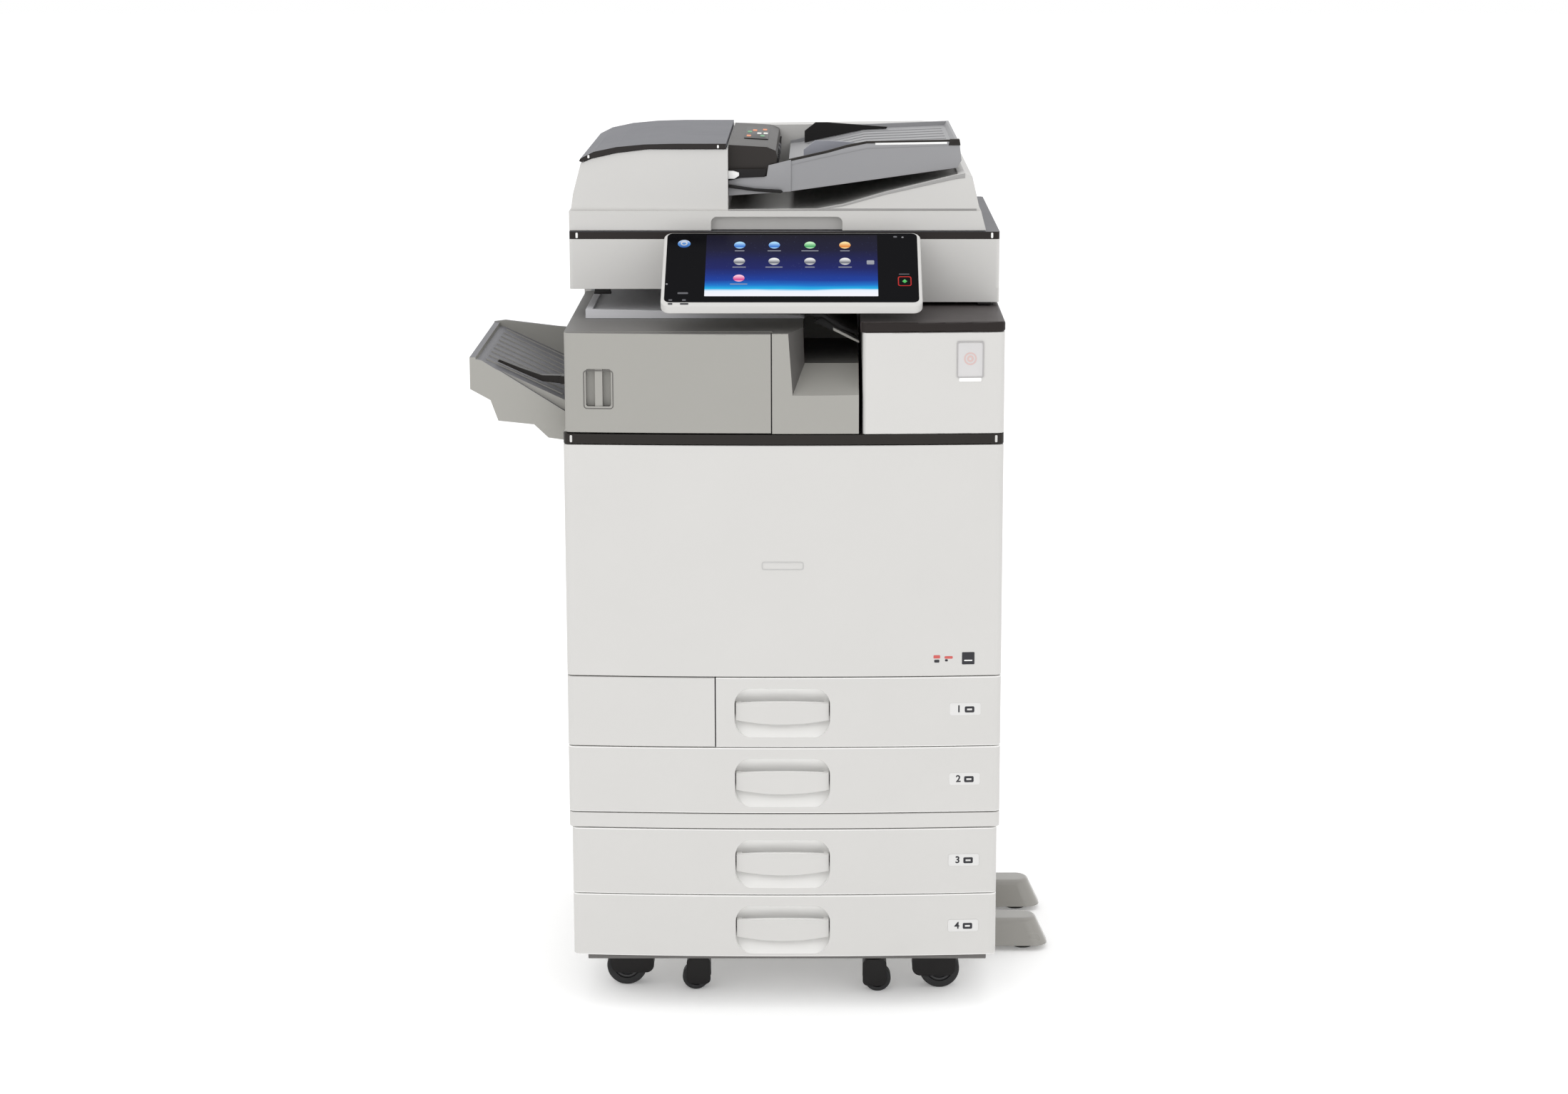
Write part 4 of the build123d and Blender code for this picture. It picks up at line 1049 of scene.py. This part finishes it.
class COPIER_OT_stage(bpy.types.Operator):
    """Add the floor, the soft lights and the camera"""

    bl_idname = "copier.stage"
    bl_label = "Stage"

    def execute(self, context):
        settings = context.scene.copier_stage
        self.floor()
        self.surround(settings.sky)
        middle = (0.0, 0.0, 0.6)
        light("Front key", settings.key, (2.4, 2.0), (-1.5, -3.6, 2.6), middle)
        light("Front fill", settings.key * 0.35, (2.6, 2.6), (2.6, -3.2, 1.4), middle)
        light("Top soft", settings.key * 0.5, (2.5, 2.5), (0.0, -0.2, 3.4), middle)
        self.camera(settings)
        context.scene.view_settings.view_transform = "Standard"
        return {"FINISHED"}

    def floor(self):
        """A plain pale floor."""
        shape = bmesh.new()
        bmesh.ops.create_grid(shape, x_segments=1, y_segments=1, size=30)
        mesh = bpy.data.meshes.new("floor")
        shape.to_mesh(mesh)
        shape.free()
        made = added("floor", mesh)
        material, tree, shader = blank_material("Floor")
        shader.inputs["Base Color"].default_value = (1.0, 1.0, 1.0, 1)
        shader.inputs["Roughness"].default_value = 0.9
        shader.inputs["Emission Color"].default_value = (1, 1, 1, 1)
        shader.inputs["Emission Strength"].default_value = 0.15
        mesh.materials.append(material)

    def surround(self, strength):
        """An even white surround."""
        world = bpy.data.worlds.new("Surround")
        bpy.context.scene.world = world
        world.use_nodes = True
        background = world.node_tree.nodes["Background"]
        background.inputs["Color"].default_value = (1, 1, 1, 1)
        background.inputs["Strength"].default_value = strength

    def camera(self, settings):
        """The camera in front, a little above the machine and looking slightly down."""
        data = bpy.data.cameras.new("Camera")
        data.lens = settings.lens
        data.sensor_width = 36.0
        data.shift_x = -0.0223
        data.shift_y = 0.0117
        made = added("Camera", data)
        made.location = at(47.1, -settings.distance / MM, settings.height / MM)
        made.rotation_euler = (math.radians(90 - settings.tilt), 0, 0)
        data.clip_end = 100
        bpy.context.scene.camera = made


class COPIER_PT_sidebar(bpy.types.Panel):
    """Lists the copier's pieces and settings"""

    bl_idname = "COPIER_PT_sidebar"
    bl_label = "Office copier"
    bl_space_type = "VIEW_3D"
    bl_region_type = "UI"
    bl_category = "Copier"

    def draw(self, context):
        scene = context.scene
        for group in (scene.copier_finish, scene.copier_panel, scene.copier_labels, scene.copier_stage):
            box = self.layout.box()
            for key in group.__annotations__:
                box.prop(group, key)
        for operator in OPERATORS:
            self.layout.operator(operator.bl_idname)


SETTINGS = {"copier_finish": CopierFinish, "copier_panel": CopierPanel, "copier_labels": CopierLabels,
            "copier_stage": CopierStage}
OPERATORS = (COPIER_OT_finishes, COPIER_OT_screen, COPIER_OT_keys, COPIER_OT_drawer_labels, COPIER_OT_cover_labels,
             COPIER_OT_trim_grips, COPIER_OT_feed_unit, COPIER_OT_feeder_trays, COPIER_OT_output_guides,
             COPIER_OT_underside, COPIER_OT_inside_marks, COPIER_OT_back, COPIER_OT_stage)


def register():
    for kind in (*SETTINGS.values(), *OPERATORS, COPIER_PT_sidebar):
        bpy.utils.register_class(kind)
    for name, kind in SETTINGS.items():
        setattr(bpy.types.Scene, name, PointerProperty(type=kind))


def unregister():
    for name in SETTINGS:
        delattr(bpy.types.Scene, name)
    for kind in reversed((*SETTINGS.values(), *OPERATORS, COPIER_PT_sidebar)):
        bpy.utils.unregister_class(kind)


def main():
    """Registers the add-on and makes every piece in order."""
    register()
    for operator in OPERATORS:
        group, name = operator.bl_idname.split(".")
        getattr(getattr(bpy.ops, group), name)()


if __name__ == "__main__":
    main()
